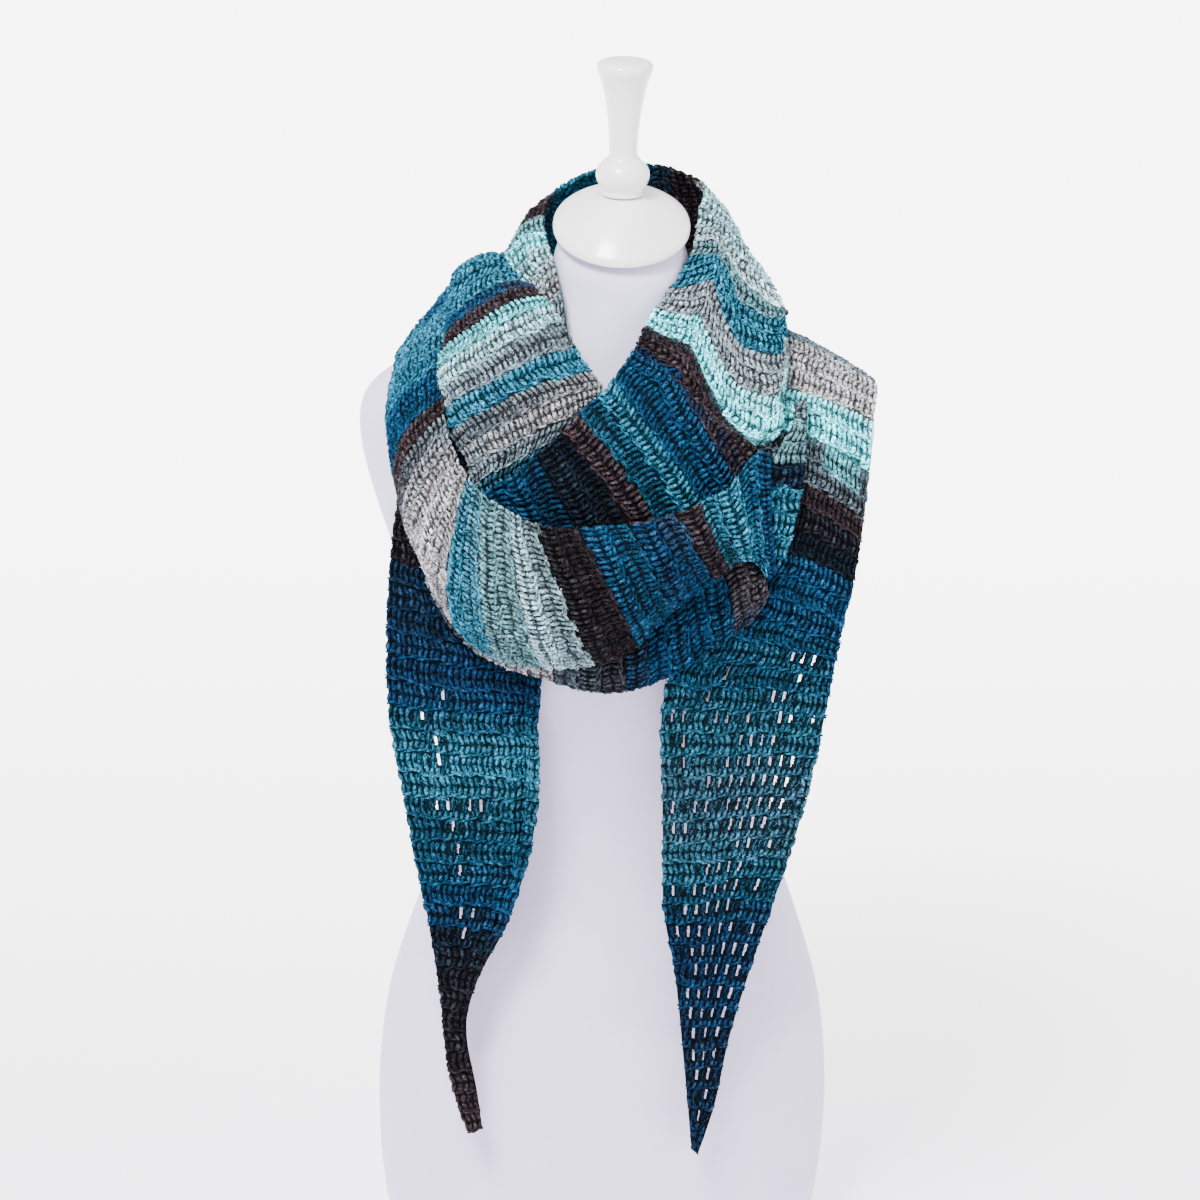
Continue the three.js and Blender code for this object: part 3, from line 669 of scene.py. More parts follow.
@dataclass
class Stitch:
    """One tall crochet stitch, in strands of yarn, with the braided loops of the row's edge on top."""

    lie: Lie
    lean: float = 2.6
    plump: float = 1.68
    thin: float = 1.15
    fibres: int = 12

    @staticmethod
    def _wrap(x: float, low: float, high: float, lean: float) -> np.ndarray:
        """A short strand that slants up over the post and dips in at both ends."""
        t = np.linspace(0, 1, 4)
        crest, sunk = 2.7, 1.3
        rise = crest * np.sin(np.pi * t) - sunk
        return np.stack([x + lean * (t - 0.5), low + (high - low) * t, rise], axis=1)

    @staticmethod
    def _loops(rise: float) -> list[np.ndarray]:
        """The two loops on top of the stitch, which cross as in a braid."""
        past, below, spread, crest = 0.5, 0.9, 1.1, 0.7
        s = np.linspace(0, 1, 4)
        x = -past + (STITCH_WIDE + 2 * past) * s
        made = []
        for way in (-1, 1):
            y = ROW_TALL - below + way * spread * np.cos(math.pi * s)
            made.append(np.stack([x, y, rise + crest * np.sin(math.pi * s) * way], axis=1))
        return made

    @staticmethod
    def _post(high: float) -> list[np.ndarray]:
        """A thin post of two twisted strands, as where the cloth is pulled open."""
        turns, foot, reach, crest = 0.6, -0.5, 0.9, 0.7
        t = np.linspace(0, 1, 5)
        made = []
        for phase in (0.5, 0.5 + math.pi):
            turn = 2 * math.pi * turns * t + phase
            x = STITCH_WIDE / 2 + reach * np.cos(turn)
            made.append(np.stack([x, foot + high * t, crest * np.sin(turn)], axis=1))
        return made

    @staticmethod
    def _fibre(rng: np.random.Generator) -> np.ndarray:
        """The four points of a fine fibre that stands off the yarn."""
        half_wide, deep, shortest = 0.27, 0.4, 0.1
        root = rng.uniform([0.5, 0.5, 0.9], [STITCH_WIDE - 0.5, ROW_TALL - 2, 1.5])
        way = rng.uniform([-2.4, -3.2, 0.2], [2.4, 3.2, 2.2])
        aside = np.array([way[1], -way[0], 0.0]) / max(np.hypot(way[0], way[1]), shortest) * half_wide
        return np.stack([root - aside, root + aside, root + [0, 0, -deep], root + way])

    def _strands(self, rng: np.random.Generator) -> list[Strand]:
        """All strands of the stitch."""
        made = []
        columns = (STITCH_WIDE / 4, STITCH_WIDE * 3 / 4)
        half, top = ROW_TALL * 0.52, ROW_TALL - 0.4
        if self.lie is Lie.OPEN:
            made += [Strand(path, self.thin, 0.9) for path in self._post(ROW_TALL * 0.72)]
            for x in columns:
                path = self._wrap(x, half + 1, top, -1.4)
                made.append(Strand(path, self.plump * 0.9, rng.uniform(0.75, 1.25)))
        else:
            for x in columns:
                for low, high, way in ((-0.4, half, 1), (half - 0.9, top, -1)):
                    path = self._wrap(x, low, high, way * self.lean)
                    made.append(Strand(path, self.plump, rng.uniform(0.75, 1.3)))
        crown = 1.1 if self.lie is Lie.LEANS_LEFT else 0.5
        return [*made, *(Strand(path, self.thin, 1.05) for path in self._loops(crown))]

    def build(self) -> bpy.types.Object:
        """The stitch in a unit cell: x across its row, y along the cloth, z outwards in metres."""
        rng = np.random.default_rng(self.lie.value + 5)
        points, faces, light = [], [], []
        count = 0
        for strand in self._strands(rng):
            faces += strand.faces(count)
            points.append(strand.rings())
            light.append(strand.shades())
            count += len(points[-1])
        for _ in range(self.fibres):
            a, b, c, tip = range(count, count + 4)
            faces += [(a, c, b), (a, b, tip), (b, c, tip), (c, a, tip)]
            points.append(self._fibre(rng))
            # Painted light on each fibre: painted shade at its buried root, and a painted highlight at
            # its tip, whose fibres are also paler.
            light.append([0.9, 0.9, 0.5, 2.0])
            count += 4
        joined = np.vstack(points)
        if self.lie is Lie.LEANS_LEFT:
            joined[:, 0] = STITCH_WIDE - joined[:, 0]
            faces = [tuple(reversed(face)) for face in faces]
        cell = [STITCH_WIDE, ROW_TALL, 1 / MM]
        made = mesh_object(f"stitch_{self.lie.name.lower()}", joined / cell, faces)
        # The light value holds each strand's own tone, with painted shade deep in the cloth and painted
        # light on the fibres.
        point_values(made.data, "light", "FLOAT", np.concatenate(light))
        return made


class StitchTree:
    """The node tree that sets stitches out in flat rows and wraps them on a stretch of cloth."""

    INPUTS = {
        "Places": "NodeSocketGeometry",
        **{f"Stitch {lie.name}": "NodeSocketObject" for lie in Lie},
        "Cloth": "NodeSocketObject",
        "Yarn": "NodeSocketMaterial",
        "Unevenness": "NodeSocketFloat",
        "Lift": "NodeSocketFloat",
        "Wobble": "NodeSocketFloat",
        "Seed": "NodeSocketInt",
    }

    def __init__(self) -> None:
        """Builds the tree."""
        self.w = Wiring(bpy.data.node_groups.new("rows_of_stitches", "GeometryNodeTree"))
        self.ids = self.w.sockets(self.INPUTS, {"Stitches": "NodeSocketGeometry"})
        self.given = self.w.add("NodeGroupInput")
        flat = self._set_out()
        wrapped = self._tousle(self._wrap_round(flat))
        dressed, out = self.w.add("GeometryNodeSetMaterial"), self.w.add("NodeGroupOutput")
        self.w.join(wrapped, "Geometry", dressed, "Geometry")
        self.w.join(self.given, "Yarn", dressed, "Material")
        self.w.join(dressed, "Geometry", out, "Stitches")

    def _attribute(self, name: str, kind: str) -> bpy.types.NodeSocket:
        """A named attribute's value."""
        node = self.w.add("GeometryNodeInputNamedAttribute", {"Name": name}, data_type=kind)
        return self.w.live(node.outputs, "Attribute")

    def _uneven(self) -> bpy.types.Node:
        """Each stitch's size, a little more or less than its cell."""
        w = self.w
        spread = w.add("FunctionNodeRandomValue", data_type="FLOAT_VECTOR")
        less = w.add("ShaderNodeMath", {0: 1.0}, operation="SUBTRACT")
        more = w.add("ShaderNodeMath", {0: 1.0}, operation="ADD")
        size = w.add("ShaderNodeVectorMath", operation="MULTIPLY")
        w.join(self.given, "Unevenness", less, 1)
        w.join(self.given, "Unevenness", more, 1)
        w.join(less, 0, spread, "Min")
        w.join(more, 0, spread, "Max")
        w.join(self.given, "Seed", spread, "Seed")
        w.link(self._attribute("size", "FLOAT_VECTOR"), size.inputs[0])
        w.link(w.live(spread.outputs), size.inputs[1])
        return size

    def _raised(self) -> bpy.types.Node:
        """The stitches' places, each a little above or below the others."""
        w = self.w
        raised = w.add("GeometryNodeSetPosition")
        lift = w.add("FunctionNodeRandomValue", data_type="FLOAT")
        lowest = w.add("ShaderNodeMath", {1: -1.0}, operation="MULTIPLY")
        up = w.add("ShaderNodeCombineXYZ")
        w.join(self.given, "Lift", lowest, 0)
        w.link(lowest.outputs[0], w.live(lift.inputs, "Min"))
        w.link(self.given.outputs["Lift"], w.live(lift.inputs, "Max"))
        w.link(self.given.outputs["Seed"], w.live(lift.inputs, "Seed"))
        w.link(w.live(lift.outputs), up.inputs["Z"])
        w.join(self.given, "Places", raised, "Geometry")
        w.join(up, "Vector", raised, "Offset")
        return raised

    def _set_out(self) -> bpy.types.Node:
        """Flat rows of stitches, each with the stitch for its lie."""
        w = self.w
        size, raised = self._uneven(), self._raised()
        joined = w.add("GeometryNodeJoinGeometry")
        lies = self._attribute("lie", "INT")
        for lie in Lie:
            chosen = w.add("FunctionNodeCompare", data_type="INT", operation="EQUAL")
            tested, wanted = [s for s in chosen.inputs if s.enabled]
            wanted.default_value = lie.value
            info = w.add("GeometryNodeObjectInfo", transform_space="ORIGINAL")
            spots = w.add("GeometryNodeInstanceOnPoints")
            w.link(lies, tested)
            w.join(self.given, f"Stitch {lie.name}", info, "Object")
            w.join(raised, "Geometry", spots, "Points")
            w.join(chosen, 0, spots, "Selection")
            w.join(info, "Geometry", spots, "Instance")
            w.join(size, "Vector", spots, "Scale")
            w.join(spots, "Instances", joined, "Geometry")
        real = w.add("GeometryNodeRealizeInstances")
        w.join(joined, "Geometry", real, "Geometry")
        return real

    def _wrap_round(self, real: bpy.types.Node) -> bpy.types.Node:
        """The flat rows laid on the cloth, by its flat map and its outward directions."""
        w = self.w
        edge = 0.0005
        cloth = w.add("GeometryNodeObjectInfo", transform_space="ORIGINAL")
        here = w.add("GeometryNodeInputPosition")
        apart, flat = w.add("ShaderNodeSeparateXYZ"), w.add("ShaderNodeCombineXYZ")
        w.join(self.given, "Cloth", cloth, "Object")
        w.join(here, "Position", apart, "Vector")
        for axis in "XY":
            hold = w.add("ShaderNodeClamp", {"Min": edge, "Max": 1 - edge})
            w.join(apart, axis, hold, "Value")
            w.join(hold, "Result", flat, axis)
        off = w.add("ShaderNodeVectorMath", operation="SCALE")
        total = w.add("ShaderNodeVectorMath", operation="ADD")
        wrapped = w.add("GeometryNodeSetPosition")
        w.link(self._on_cloth(cloth, flat, self._attribute("out", "FLOAT_VECTOR")), off.inputs[0])
        w.join(apart, "Z", off, "Scale")
        w.link(self._on_cloth(cloth, flat, here.outputs["Position"]), total.inputs[0])
        w.join(off, "Vector", total, 1)
        w.join(real, "Geometry", wrapped, "Geometry")
        w.join(total, "Vector", wrapped, "Position")
        return wrapped

    def _tousle(self, wrapped: bpy.types.Node) -> bpy.types.Node:
        """The same yarn, pushed about a little."""
        w = self.w
        noise = w.add("ShaderNodeTexNoise", {"Scale": 330.0, "Detail": 1.0})
        centred = w.add("ShaderNodeVectorMath", {1: (0.5, 0.5, 0.5)}, operation="SUBTRACT")
        pushed = w.add("ShaderNodeVectorMath", operation="SCALE")
        tousled = w.add("GeometryNodeSetPosition")
        w.join(noise, "Color", centred, 0)
        w.join(centred, "Vector", pushed, 0)
        w.join(self.given, "Wobble", pushed, "Scale")
        w.join(wrapped, "Geometry", tousled, "Geometry")
        w.join(pushed, "Vector", tousled, "Offset")
        return tousled

    def _on_cloth(
        self, cloth: bpy.types.Node, at: bpy.types.Node, value: bpy.types.NodeSocket
    ) -> bpy.types.NodeSocket:
        """The value of the cloth's surface at a place on its flat map."""
        node = self.w.add("GeometryNodeSampleUVSurface", data_type="FLOAT_VECTOR")
        sockets = {s.name: s for s in node.inputs if s.enabled}
        self.w.link(cloth.outputs["Geometry"], sockets["Mesh"])
        self.w.link(value, sockets["Value"])
        source = sockets.get("Source UV Map") or sockets["UV Map"]
        self.w.link(self._attribute("flat", "FLOAT_VECTOR"), source)
        self.w.link(at.outputs["Vector"], sockets["Sample UV"])
        return self.w.live(node.outputs, "Value")

    def wrap(self, name: str, places: bpy.types.Object, values: dict[str, object]) -> bpy.types.Object:
        """Runs the tree on flat places and gives the plain mesh.

        Args:
            name: the new piece's name.
            places: the flat places, removed afterwards.
            values: the tree's inputs by name.

        Returns:
            The wrapped stitches.
        """
        modifier = places.modifiers.new("rows", "NODES")
        modifier.node_group = self.w.tree
        for key, value in values.items():
            modifier[self.ids[key]] = value
        graph = bpy.context.evaluated_depsgraph_get()
        mesh = bpy.data.meshes.new_from_object(places.evaluated_get(graph))
        places.modifiers.remove(modifier)
        bpy.data.objects.remove(places)
        mesh.name = name
        return linked(mesh, name)


@dataclass(frozen=True)
class OpenPatch:
    """A part of the cloth where slits open between the posts."""

    along: float
    across: float
    long: float
    wide: float
    share: float


@dataclass(frozen=True)
class Weave:
    """How fine a sheet's mesh is, in metres along and across."""

    step: float
    pitch: float


OPEN_WEAVE = Weave(0.0032, 0.0012)
PLAIN_WEAVE = Weave(0.006, 0.005)


@dataclass
class Stretch:
    """One stretch of the shawl that shows: a thin sheet and the rows of stitches on it."""

    name: str
    slot: str
    rows: Sequence[Sequence[float]]
    folds: Sequence[Sequence[float]]
    tones: Sequence[tuple[float, Tone]]
    slant: Sequence[tuple[float, float]] = ((0.0, 0.0), (1.0, 0.0))
    rests_on: Sequence[str] = ()
    held: str = "draped"
    cut: tuple[float, float] = (0.1, 0.5)
    area: Optional[float] = None
    open_patches: Sequence[OpenPatch] = ()
    lined: bool = False
    seed: int = 1

    def _colour(self, along: np.ndarray) -> np.ndarray:
        """The yarn's colour at shares of the rows."""
        stops = np.array([at for at, _ in self.tones])
        values = np.array([tone.value for _, tone in self.tones])
        return np.stack([np.interp(along, stops, values[:, k]) for k in range(3)], axis=-1)

    @staticmethod
    def _counts(cloth: Cloth) -> np.ndarray:
        """How many stitches each row has."""
        count = max(1, round(cloth.length / MM / ROW_TALL))
        middles = (np.arange(count) + 0.5) / count * (len(cloth.widths) - 1)
        wide = np.interp(middles, np.arange(len(cloth.widths)), cloth.widths)
        return np.maximum(1, np.round(wide / MM / STITCH_WIDE)).astype(int)

    def _open(self, counts: np.ndarray, rng: np.random.Generator) -> list[np.ndarray]:
        """For each row, which gaps between stitches are open slits."""
        made = []
        for r, count in enumerate(counts):
            across = np.arange(count + 1) / count
            along = (r + 0.5) / len(counts)
            share = np.zeros(count + 1)
            for p in self.open_patches:
                near = ((along - p.along) / p.long) ** 2 + ((across - p.across) / p.wide) ** 2
                share = np.maximum(share, p.share * np.exp(-near))
            is_open = rng.random(count + 1) < share
            is_open[[0, -1]] = False
            made.append(is_open)
        return made

    def _stitch_places(
        self, counts: np.ndarray, slits: list[np.ndarray], rng: np.random.Generator
    ) -> bpy.types.Object:
        """The flat corner of each stitch's cell, with its size, lie and colour."""
        total = len(counts)
        places, sizes, lies, tints = [], [], [], []
        for r, count in enumerate(counts):
            for c in range(count):
                places.append((c / count, r / total, 0.0))
                sizes.append((1 / count, 1 / total, 1.0))
                is_open = slits[r][c] or slits[r][c + 1]
                lies.append(Lie.OPEN.value if is_open else r % 2)
                run = (c + 0.5) / count
                drift = rng.normal(0, 0.06)
                tints.append((r + 0.35 + 0.3 * (run if r % 2 == 0 else 1 - run) + drift) / total)
        made = mesh_object(f"places_{self.name}", np.array(places), [])
        colour = self._colour(np.array(tints)) * rng.uniform(0.8, 1.2, (len(tints), 1))
        point_values(made.data, "size", "FLOAT_VECTOR", sizes)
        point_values(made.data, "lie", "INT", lies)
        point_values(made.data, "tint", "FLOAT_COLOR", with_alpha(colour))
        return made

    @staticmethod
    def _whole(rows: int, columns: int, counts: np.ndarray, slits: list[np.ndarray]) -> np.ndarray:
        """Which faces of a sheet's mesh are cloth and not part of a slit."""
        slit_low, slit_high = 0.08, 0.6
        keep = np.ones((rows, columns), bool)
        for i, j in np.ndindex(keep.shape):
            r = (i + 0.5) / rows * len(counts)
            row = min(int(r), len(counts) - 1)
            c = (j + 0.5) / columns * counts[row] + SLIT_LEAN * (r - row)
            k = min(int(round(c)), counts[row])
            beside = abs(c - k) * STITCH_WIDE < SLIT_REACH and slit_low < r - row < slit_high
            keep[i, j] = not (beside and slits[row][k])
        return keep

    def _sheet(self, cloth: Cloth, counts: np.ndarray, slits: list[np.ndarray]) -> bpy.types.Object:
        """The thin closed sheet behind the stitches, with real slits where the cloth is open, darkened
        with painted shade so that the gaps between the stitches look shaded.
        """
        end, edge = 0.002, 0.012
        # Painted shade: both faces of the sheet are darkened, the outer face most, to shade the gaps
        # between the stitches.
        outer_painted_shade, inner_painted_shade = 0.1, 0.5
        weave = OPEN_WEAVE if self.open_patches else PLAIN_WEAVE
        rows = max(16, round(cloth.length / weave.step))
        columns = max(8, round(float(cloth.widths.max()) / weave.pitch))
        along, across = np.meshgrid(
            np.linspace(end, 1 - end, rows + 1), np.linspace(edge, 1 - edge, columns + 1), indexing="ij"
        )
        points, normals = (net.reshape(-1, 3) for net in cloth.sample(along, across))
        both = np.vstack([points + normals * BACKING * MM, points - normals * BACKING * MM])
        inner, wide = len(points), columns + 1
        faces = []
        keep = self._whole(rows, columns, counts, slits)
        kept = np.pad(keep, 1)
        for i, j in np.argwhere(keep).tolist():
            a, b = i * wide + j, (i + 1) * wide + j
            c, d = b + 1, a + 1
            faces += [(a, b, c, d), (inner + a, inner + d, inner + c, inner + b)]
            for p, q, other in (
                (a, b, kept[i + 1, j]),
                (b, c, kept[i + 2, j + 1]),
                (c, d, kept[i + 1, j + 2]),
                (d, a, kept[i, j + 1]),
            ):
                if not other:
                    faces.append((q, p, inner + p, inner + q))
        made = mesh_object(f"{self.name}_sheet", both, faces)
        tint = self._colour(np.tile(slanted(along, across, self.slant).ravel(), 2))
        point_values(made.data, "tint", "FLOAT_COLOR", with_alpha(tint))
        point_values(made.data, "light", "FLOAT", np.repeat([outer_painted_shade, inner_painted_shade], inner))
        shell = bmesh.new()
        shell.from_mesh(made.data)
        loose = [v for v in shell.verts if not v.link_faces]
        bmesh.ops.delete(shell, geom=loose, context="VERTS")
        bmesh.ops.recalc_face_normals(shell, faces=shell.faces)
        shell.to_mesh(made.data)
        shell.free()
        return made

    def build(
        self, tree: StitchTree, stitches: dict[Lie, bpy.types.Object], materials: Materials
    ) -> None:
        """Args:
            tree: the tree that wraps the stitches.
            stitches: the stitch for each way to lie.
            materials: the object's materials.
        """
        rng = np.random.default_rng(self.seed)
        cloth = Cloth(self.rows, self.folds, self.name)
        counts = self._counts(cloth)
        slits = self._open(counts, rng)
        faces = {"stitches": 1.0, "lining": -0.8} if self.lined else {"stitches": 1.0}
        knits = []
        for face, side in faces.items():
            carrier = cloth.carrier(f"carrier_{self.name}", self.slant, side)
            places = self._stitch_places(counts, slits, rng)
            bpy.context.view_layer.update()
            knit = tree.wrap(
                f"{self.name}_{face}",
                places,
                {
                    **{f"Stitch {lie.name}": stitch for lie, stitch in stitches.items()},
                    "Cloth": carrier,
                    "Yarn": materials.yarn,
                    "Unevenness": 0.12,
                    "Lift": 0.0004,
                    "Wobble": 0.003,
                    "Seed": self.seed,
                },
            )
            bpy.data.objects.remove(carrier)
            if side < 0:
                knit.data.flip_normals()
            knits.append(knit)
        sheet = self._sheet(cloth, counts, slits)
        sheet.data.materials.append(materials.yarn)
        log.info(
            "%s: %.0f mm long, %.0f to %.0f mm wide, %.4f m2, %d rows, %d stitches, %d faces",
            self.name, cloth.length / MM, cloth.widths.min() / MM, cloth.widths.max() / MM,
            cloth.area, len(counts), counts.sum(), len(knits[0].data.polygons),
        )
        for piece in (sheet, *knits):
            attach(piece, "root")
        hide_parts(self.name)


@dataclass
class DressForm:
    """The form that the shawl is wound on: a covered torso with a painted cap and handle."""

    weld: float = 1e-5
    face_angle: float = 0.6
    shape_angle: float = 1.2
    rounds: int = 2

    def _rounded(self, node: str, material: bpy.types.Material) -> None:
        """Makes a rounded copy of a solid, which stands for it.

        Args:
            node: the solid.
            material: what it is dressed in.
        """
        shape = bmesh.new()
        shape.from_mesh(frame["nodes"][node].data)
        bmesh.ops.remove_doubles(shape, verts=shape.verts, dist=self.weld)
        bmesh.ops.join_triangles(
            shape,
            faces=shape.faces,
            angle_face_threshold=self.face_angle,
            angle_shape_threshold=self.shape_angle,
        )
        mesh = bpy.data.meshes.new(f"{node}_smooth")
        shape.to_mesh(mesh)
        shape.free()
        mesh.shade_smooth()
        made = linked(mesh, mesh.name)
        subdivide = made.modifiers.new("round", "SUBSURF")
        subdivide.levels = subdivide.render_levels = self.rounds
        mesh.materials.clear()
        mesh.materials.append(material)
        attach(made, "root")
        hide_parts(node)

    def build(self, materials: Materials) -> None:
        """Makes the torso, the cap and the handle."""
        self._rounded("form_torso", materials.jersey)
        for node in ("neck_cap", "finial"):
            self._rounded(node, materials.paint)
        log.info("dress form: torso, cap and handle")


@dataclass
class Studio:
    """The floor, the light and the camera."""

    rise_deg: float = 20.0
    distance: float = 3.2
    roll_deg: float = 1.25
    target: Point = (-0.00975, 0.0, 0.515)
    lens: float = 128.0
    half_floor: float = 6.0
    floor_gap: float = 0.0005
    sky: Point = (0.94, 0.95, 0.97)
    sky_strength: float = 1.7

    def _lamp(self, name: str, place: Point, size: float, power: float) -> None:
        """A square soft lamp aimed at the object."""
        data = bpy.data.lights.new(name, "AREA")
        data.shape = "SQUARE"
        data.size, data.energy = size, power
        lamp = bpy.data.objects.new(name, data)
        lamp.location = place
        lamp.rotation_euler = (Vector(self.target) - Vector(place)).to_track_quat("-Z", "Y").to_euler()
        bpy.context.scene.collection.objects.link(lamp)

    def _camera(self) -> None:
        """The camera at the photograph's angle."""
        rise, roll = math.radians(self.rise_deg), math.radians(self.roll_deg)
        ahead = Vector((0, math.cos(rise), -math.sin(rise)))
        data = bpy.data.cameras.new("camera")
        data.sensor_width, data.lens = 36.0, self.lens
        data.clip_start, data.clip_end = 0.1, 50.0
        camera = bpy.data.objects.new("camera", data)
        camera.location = Vector(self.target) - ahead * self.distance
        camera.rotation_euler = ahead.to_track_quat("-Z", "Y").to_euler()
        camera.rotation_euler.rotate_axis("Z", roll)
        bpy.context.scene.collection.objects.link(camera)
        bpy.context.scene.camera = camera

    def build(self, materials: Materials) -> None:
        """Sets the studio up."""
        ways = ((-1, -1), (1, -1), (1, 1), (-1, 1))
        corners = np.array([(x * self.half_floor, y * self.half_floor, -self.floor_gap) for x, y in ways])
        floor = mesh_object("floor", corners, [(0, 1, 2, 3)])
        floor.data.materials.append(materials.floor)
        world = bpy.data.worlds.new("studio")
        world.use_nodes = True
        sky = world.node_tree.nodes["Background"]
        Wiring.fill(sky, {"Color": (*self.sky, 1.0), "Strength": self.sky_strength})
        bpy.context.scene.world = world
        self._lamp("key", (-0.9, -1.7, 3.2), size=1.0, power=270.0)
        self._lamp("fill", (2.2, -1.6, 1.3), size=1.6, power=30.0)
        self._camera()
        log.info("floor, light and camera")


NECK_JOIN = (-254, 58, 815, -256, 84, 796, -254, 106, 765)
LEFT_SHOULDER_JOIN = (-104, 126, 738, -103, 146, 724, -101, 159, 706)

TAIL_RIGHT = Stretch(
    name="tail_right",
    slot="yarn_deep_blue",
    rests_on=("form_torso",),
    held="hung",
    cut=(0.115, 0.82),
    area=0.064,
    seed=11,
    open_patches=(
        OpenPatch(0.515, 0.79, 0.045, 0.07, 1.1),
        OpenPatch(0.66, 0.62, 0.09, 0.26, 1.2),
        OpenPatch(0.85, 0.5, 0.16, 0.5, 1.4),
    ),
    rows=(
        (172, 88, 726, 162, 94, 702, 154, 104, 674),
        (148, 98, 722, 138, 116, 698, 132, 138, 670),
        (126, 112, 716, 119, 142, 700, 115, 172, 678),
        (110, 114, 722, 104, 148, 708, 101, 184, 686),
        (90, 116, 724, 90, 152, 709, 90, 190, 686),
        (66, 120, 700, 74, 155, 690, 75, 193, 676),
        (50, 136, 664, 62, 160, 652, 67, 198, 624),
        (42, 146, 610, 56, 163, 602, 63, 199, 580),
        (30, 138, 558, 46, 160, 545, 58, 196, 524),
        (16, 136, 494, 41, 162, 490, 55, 195, 482),
        (16, 135, 424, 38, 155, 424, 52, 189, 420),
        (17, 134, 368, 37, 151, 370, 49, 182, 370),
        (18, 133, 319, 35, 146, 320, 46, 172, 321),
        (22, 135, 270, 33, 144, 268, 42, 161, 265),
        (25, 137, 212, 32, 144, 212, 38, 153, 211),
        (27, 140, 163, 31, 143, 160, 35, 148, 157),
        (28.5, 142, 124, 29.5, 143, 120, 30.5, 144, 116),
    ),
    folds=(
        (0.62, 0.7, 0.3, 0.22, -4),
        (0.72, 0.3, 0.25, 0.2, 4),
        (0.4, 0.5, 0.08, 0.3, 3),
    ),
    tones=(
        (0, Tone.DEEP_BLUE), (0.1, Tone.TEAL), (0.17, Tone.TEAL_GREY), (0.205, Tone.GREY),
        (0.225, Tone.TAN), (0.27, Tone.TAN), (0.28, Tone.MINT), (0.315, Tone.MINT),
        (0.322, Tone.DARK_GREY), (0.345, Tone.DARK_GREY), (0.352, Tone.BROWN), (0.375, Tone.DARK_BROWN),
        (0.40, Tone.BLUE_BLACK), (0.412, Tone.BLUE_BLACK), (0.425, Tone.BLUE), (0.48, Tone.BLUE),
        (0.50, Tone.TEAL_BLUE), (0.54, Tone.TEAL_BLUE), (0.56, Tone.DEEP_TEAL), (0.60, Tone.DEEP_TEAL),
        (0.62, Tone.TEAL_GREY), (0.69, Tone.TEAL_GREY), (0.71, Tone.DEEP_TEAL), (0.74, Tone.TEAL_BLUE),
        (0.77, Tone.DEEP_BLUE), (0.86, Tone.DEEP_BLUE), (0.88, Tone.NAVY), (1, Tone.NAVY),
    ),
)

TAIL_LEFT = Stretch(
    name="tail_left",
    slot="yarn_deep_blue",
    rests_on=("form_torso",),
    held="hung",
    cut=(0.125, 0.665),
    area=0.044,
    seed=12,
    open_patches=(
        OpenPatch(0.54, 0.28, 0.045, 0.08, 1.1),
        OpenPatch(0.64, 0.36, 0.05, 0.12, 1.1),
        OpenPatch(0.74, 0.43, 0.05, 0.17, 1.2),
    ),
    rows=(
        (-100, 146, 709, -101, 131, 715, -102, 116, 721),
        (-78, 148, 704, -76, 132, 711, -72, 116, 717),
        (-68, 158, 664, -62, 142, 668, -54, 126, 674),
        (-64, 175, 622, -58, 154, 618, -48, 134, 612),
        (-61, 186, 575, -50, 155, 564, -37, 134, 552),
        (-59, 192, 516, -43, 152, 510, -24, 128, 506),
        (-57, 193, 456, -42, 152, 456, -23, 130, 457),
        (-55, 186, 402, -41, 150, 402, -22, 132, 403),
        (-52, 181, 348, -40, 154, 350, -25, 136, 351),
        (-49, 176, 302, -41, 158, 300, -31, 144, 298),
        (-47, 172, 262, -43, 165, 261, -37, 153, 261),
        (-45.5, 170, 232, -43, 169, 231, -39.5, 159, 230),
        (-45, 168, 206, -43, 168, 206, -40, 158, 207),
        (-43, 164, 165, -41, 164, 167, -37.5, 155, 169),
        (-39.5, 157, 129, -38, 157, 131, -36, 152, 133),
    ),
    folds=(
        (0.5, 0.85, 0.24, 0.045, -7),
        (0.5, 0.97, 0.26, 0.06, 4),
        (0.42, 0.3, 0.25, 0.25, 3),
        (0.66, 0.45, 0.12, 0.3, -3),
    ),
    tones=(
        (0, Tone.TEAL), (0.15, Tone.BLUE), (0.22, Tone.DARK_BROWN), (0.32, Tone.DARK_BROWN),
        (0.34, Tone.NAVY), (0.39, Tone.NAVY), (0.42, Tone.DEEP_BLUE), (0.45, Tone.DEEP_BLUE),
        (0.485, Tone.BLUE), (0.51, Tone.DEEP_TEAL), (0.55, Tone.TEAL), (0.59, Tone.DEEP_TEAL),
        (0.62, Tone.TEAL_BLUE), (0.66, Tone.TEAL_BLUE), (0.70, Tone.BLUE), (0.73, Tone.DEEP_BLUE),
        (0.75, Tone.DARK_BLUE), (0.785, Tone.CHARCOAL), (0.9, Tone.DARK_BROWN), (1, Tone.BROWN),
    ),
)

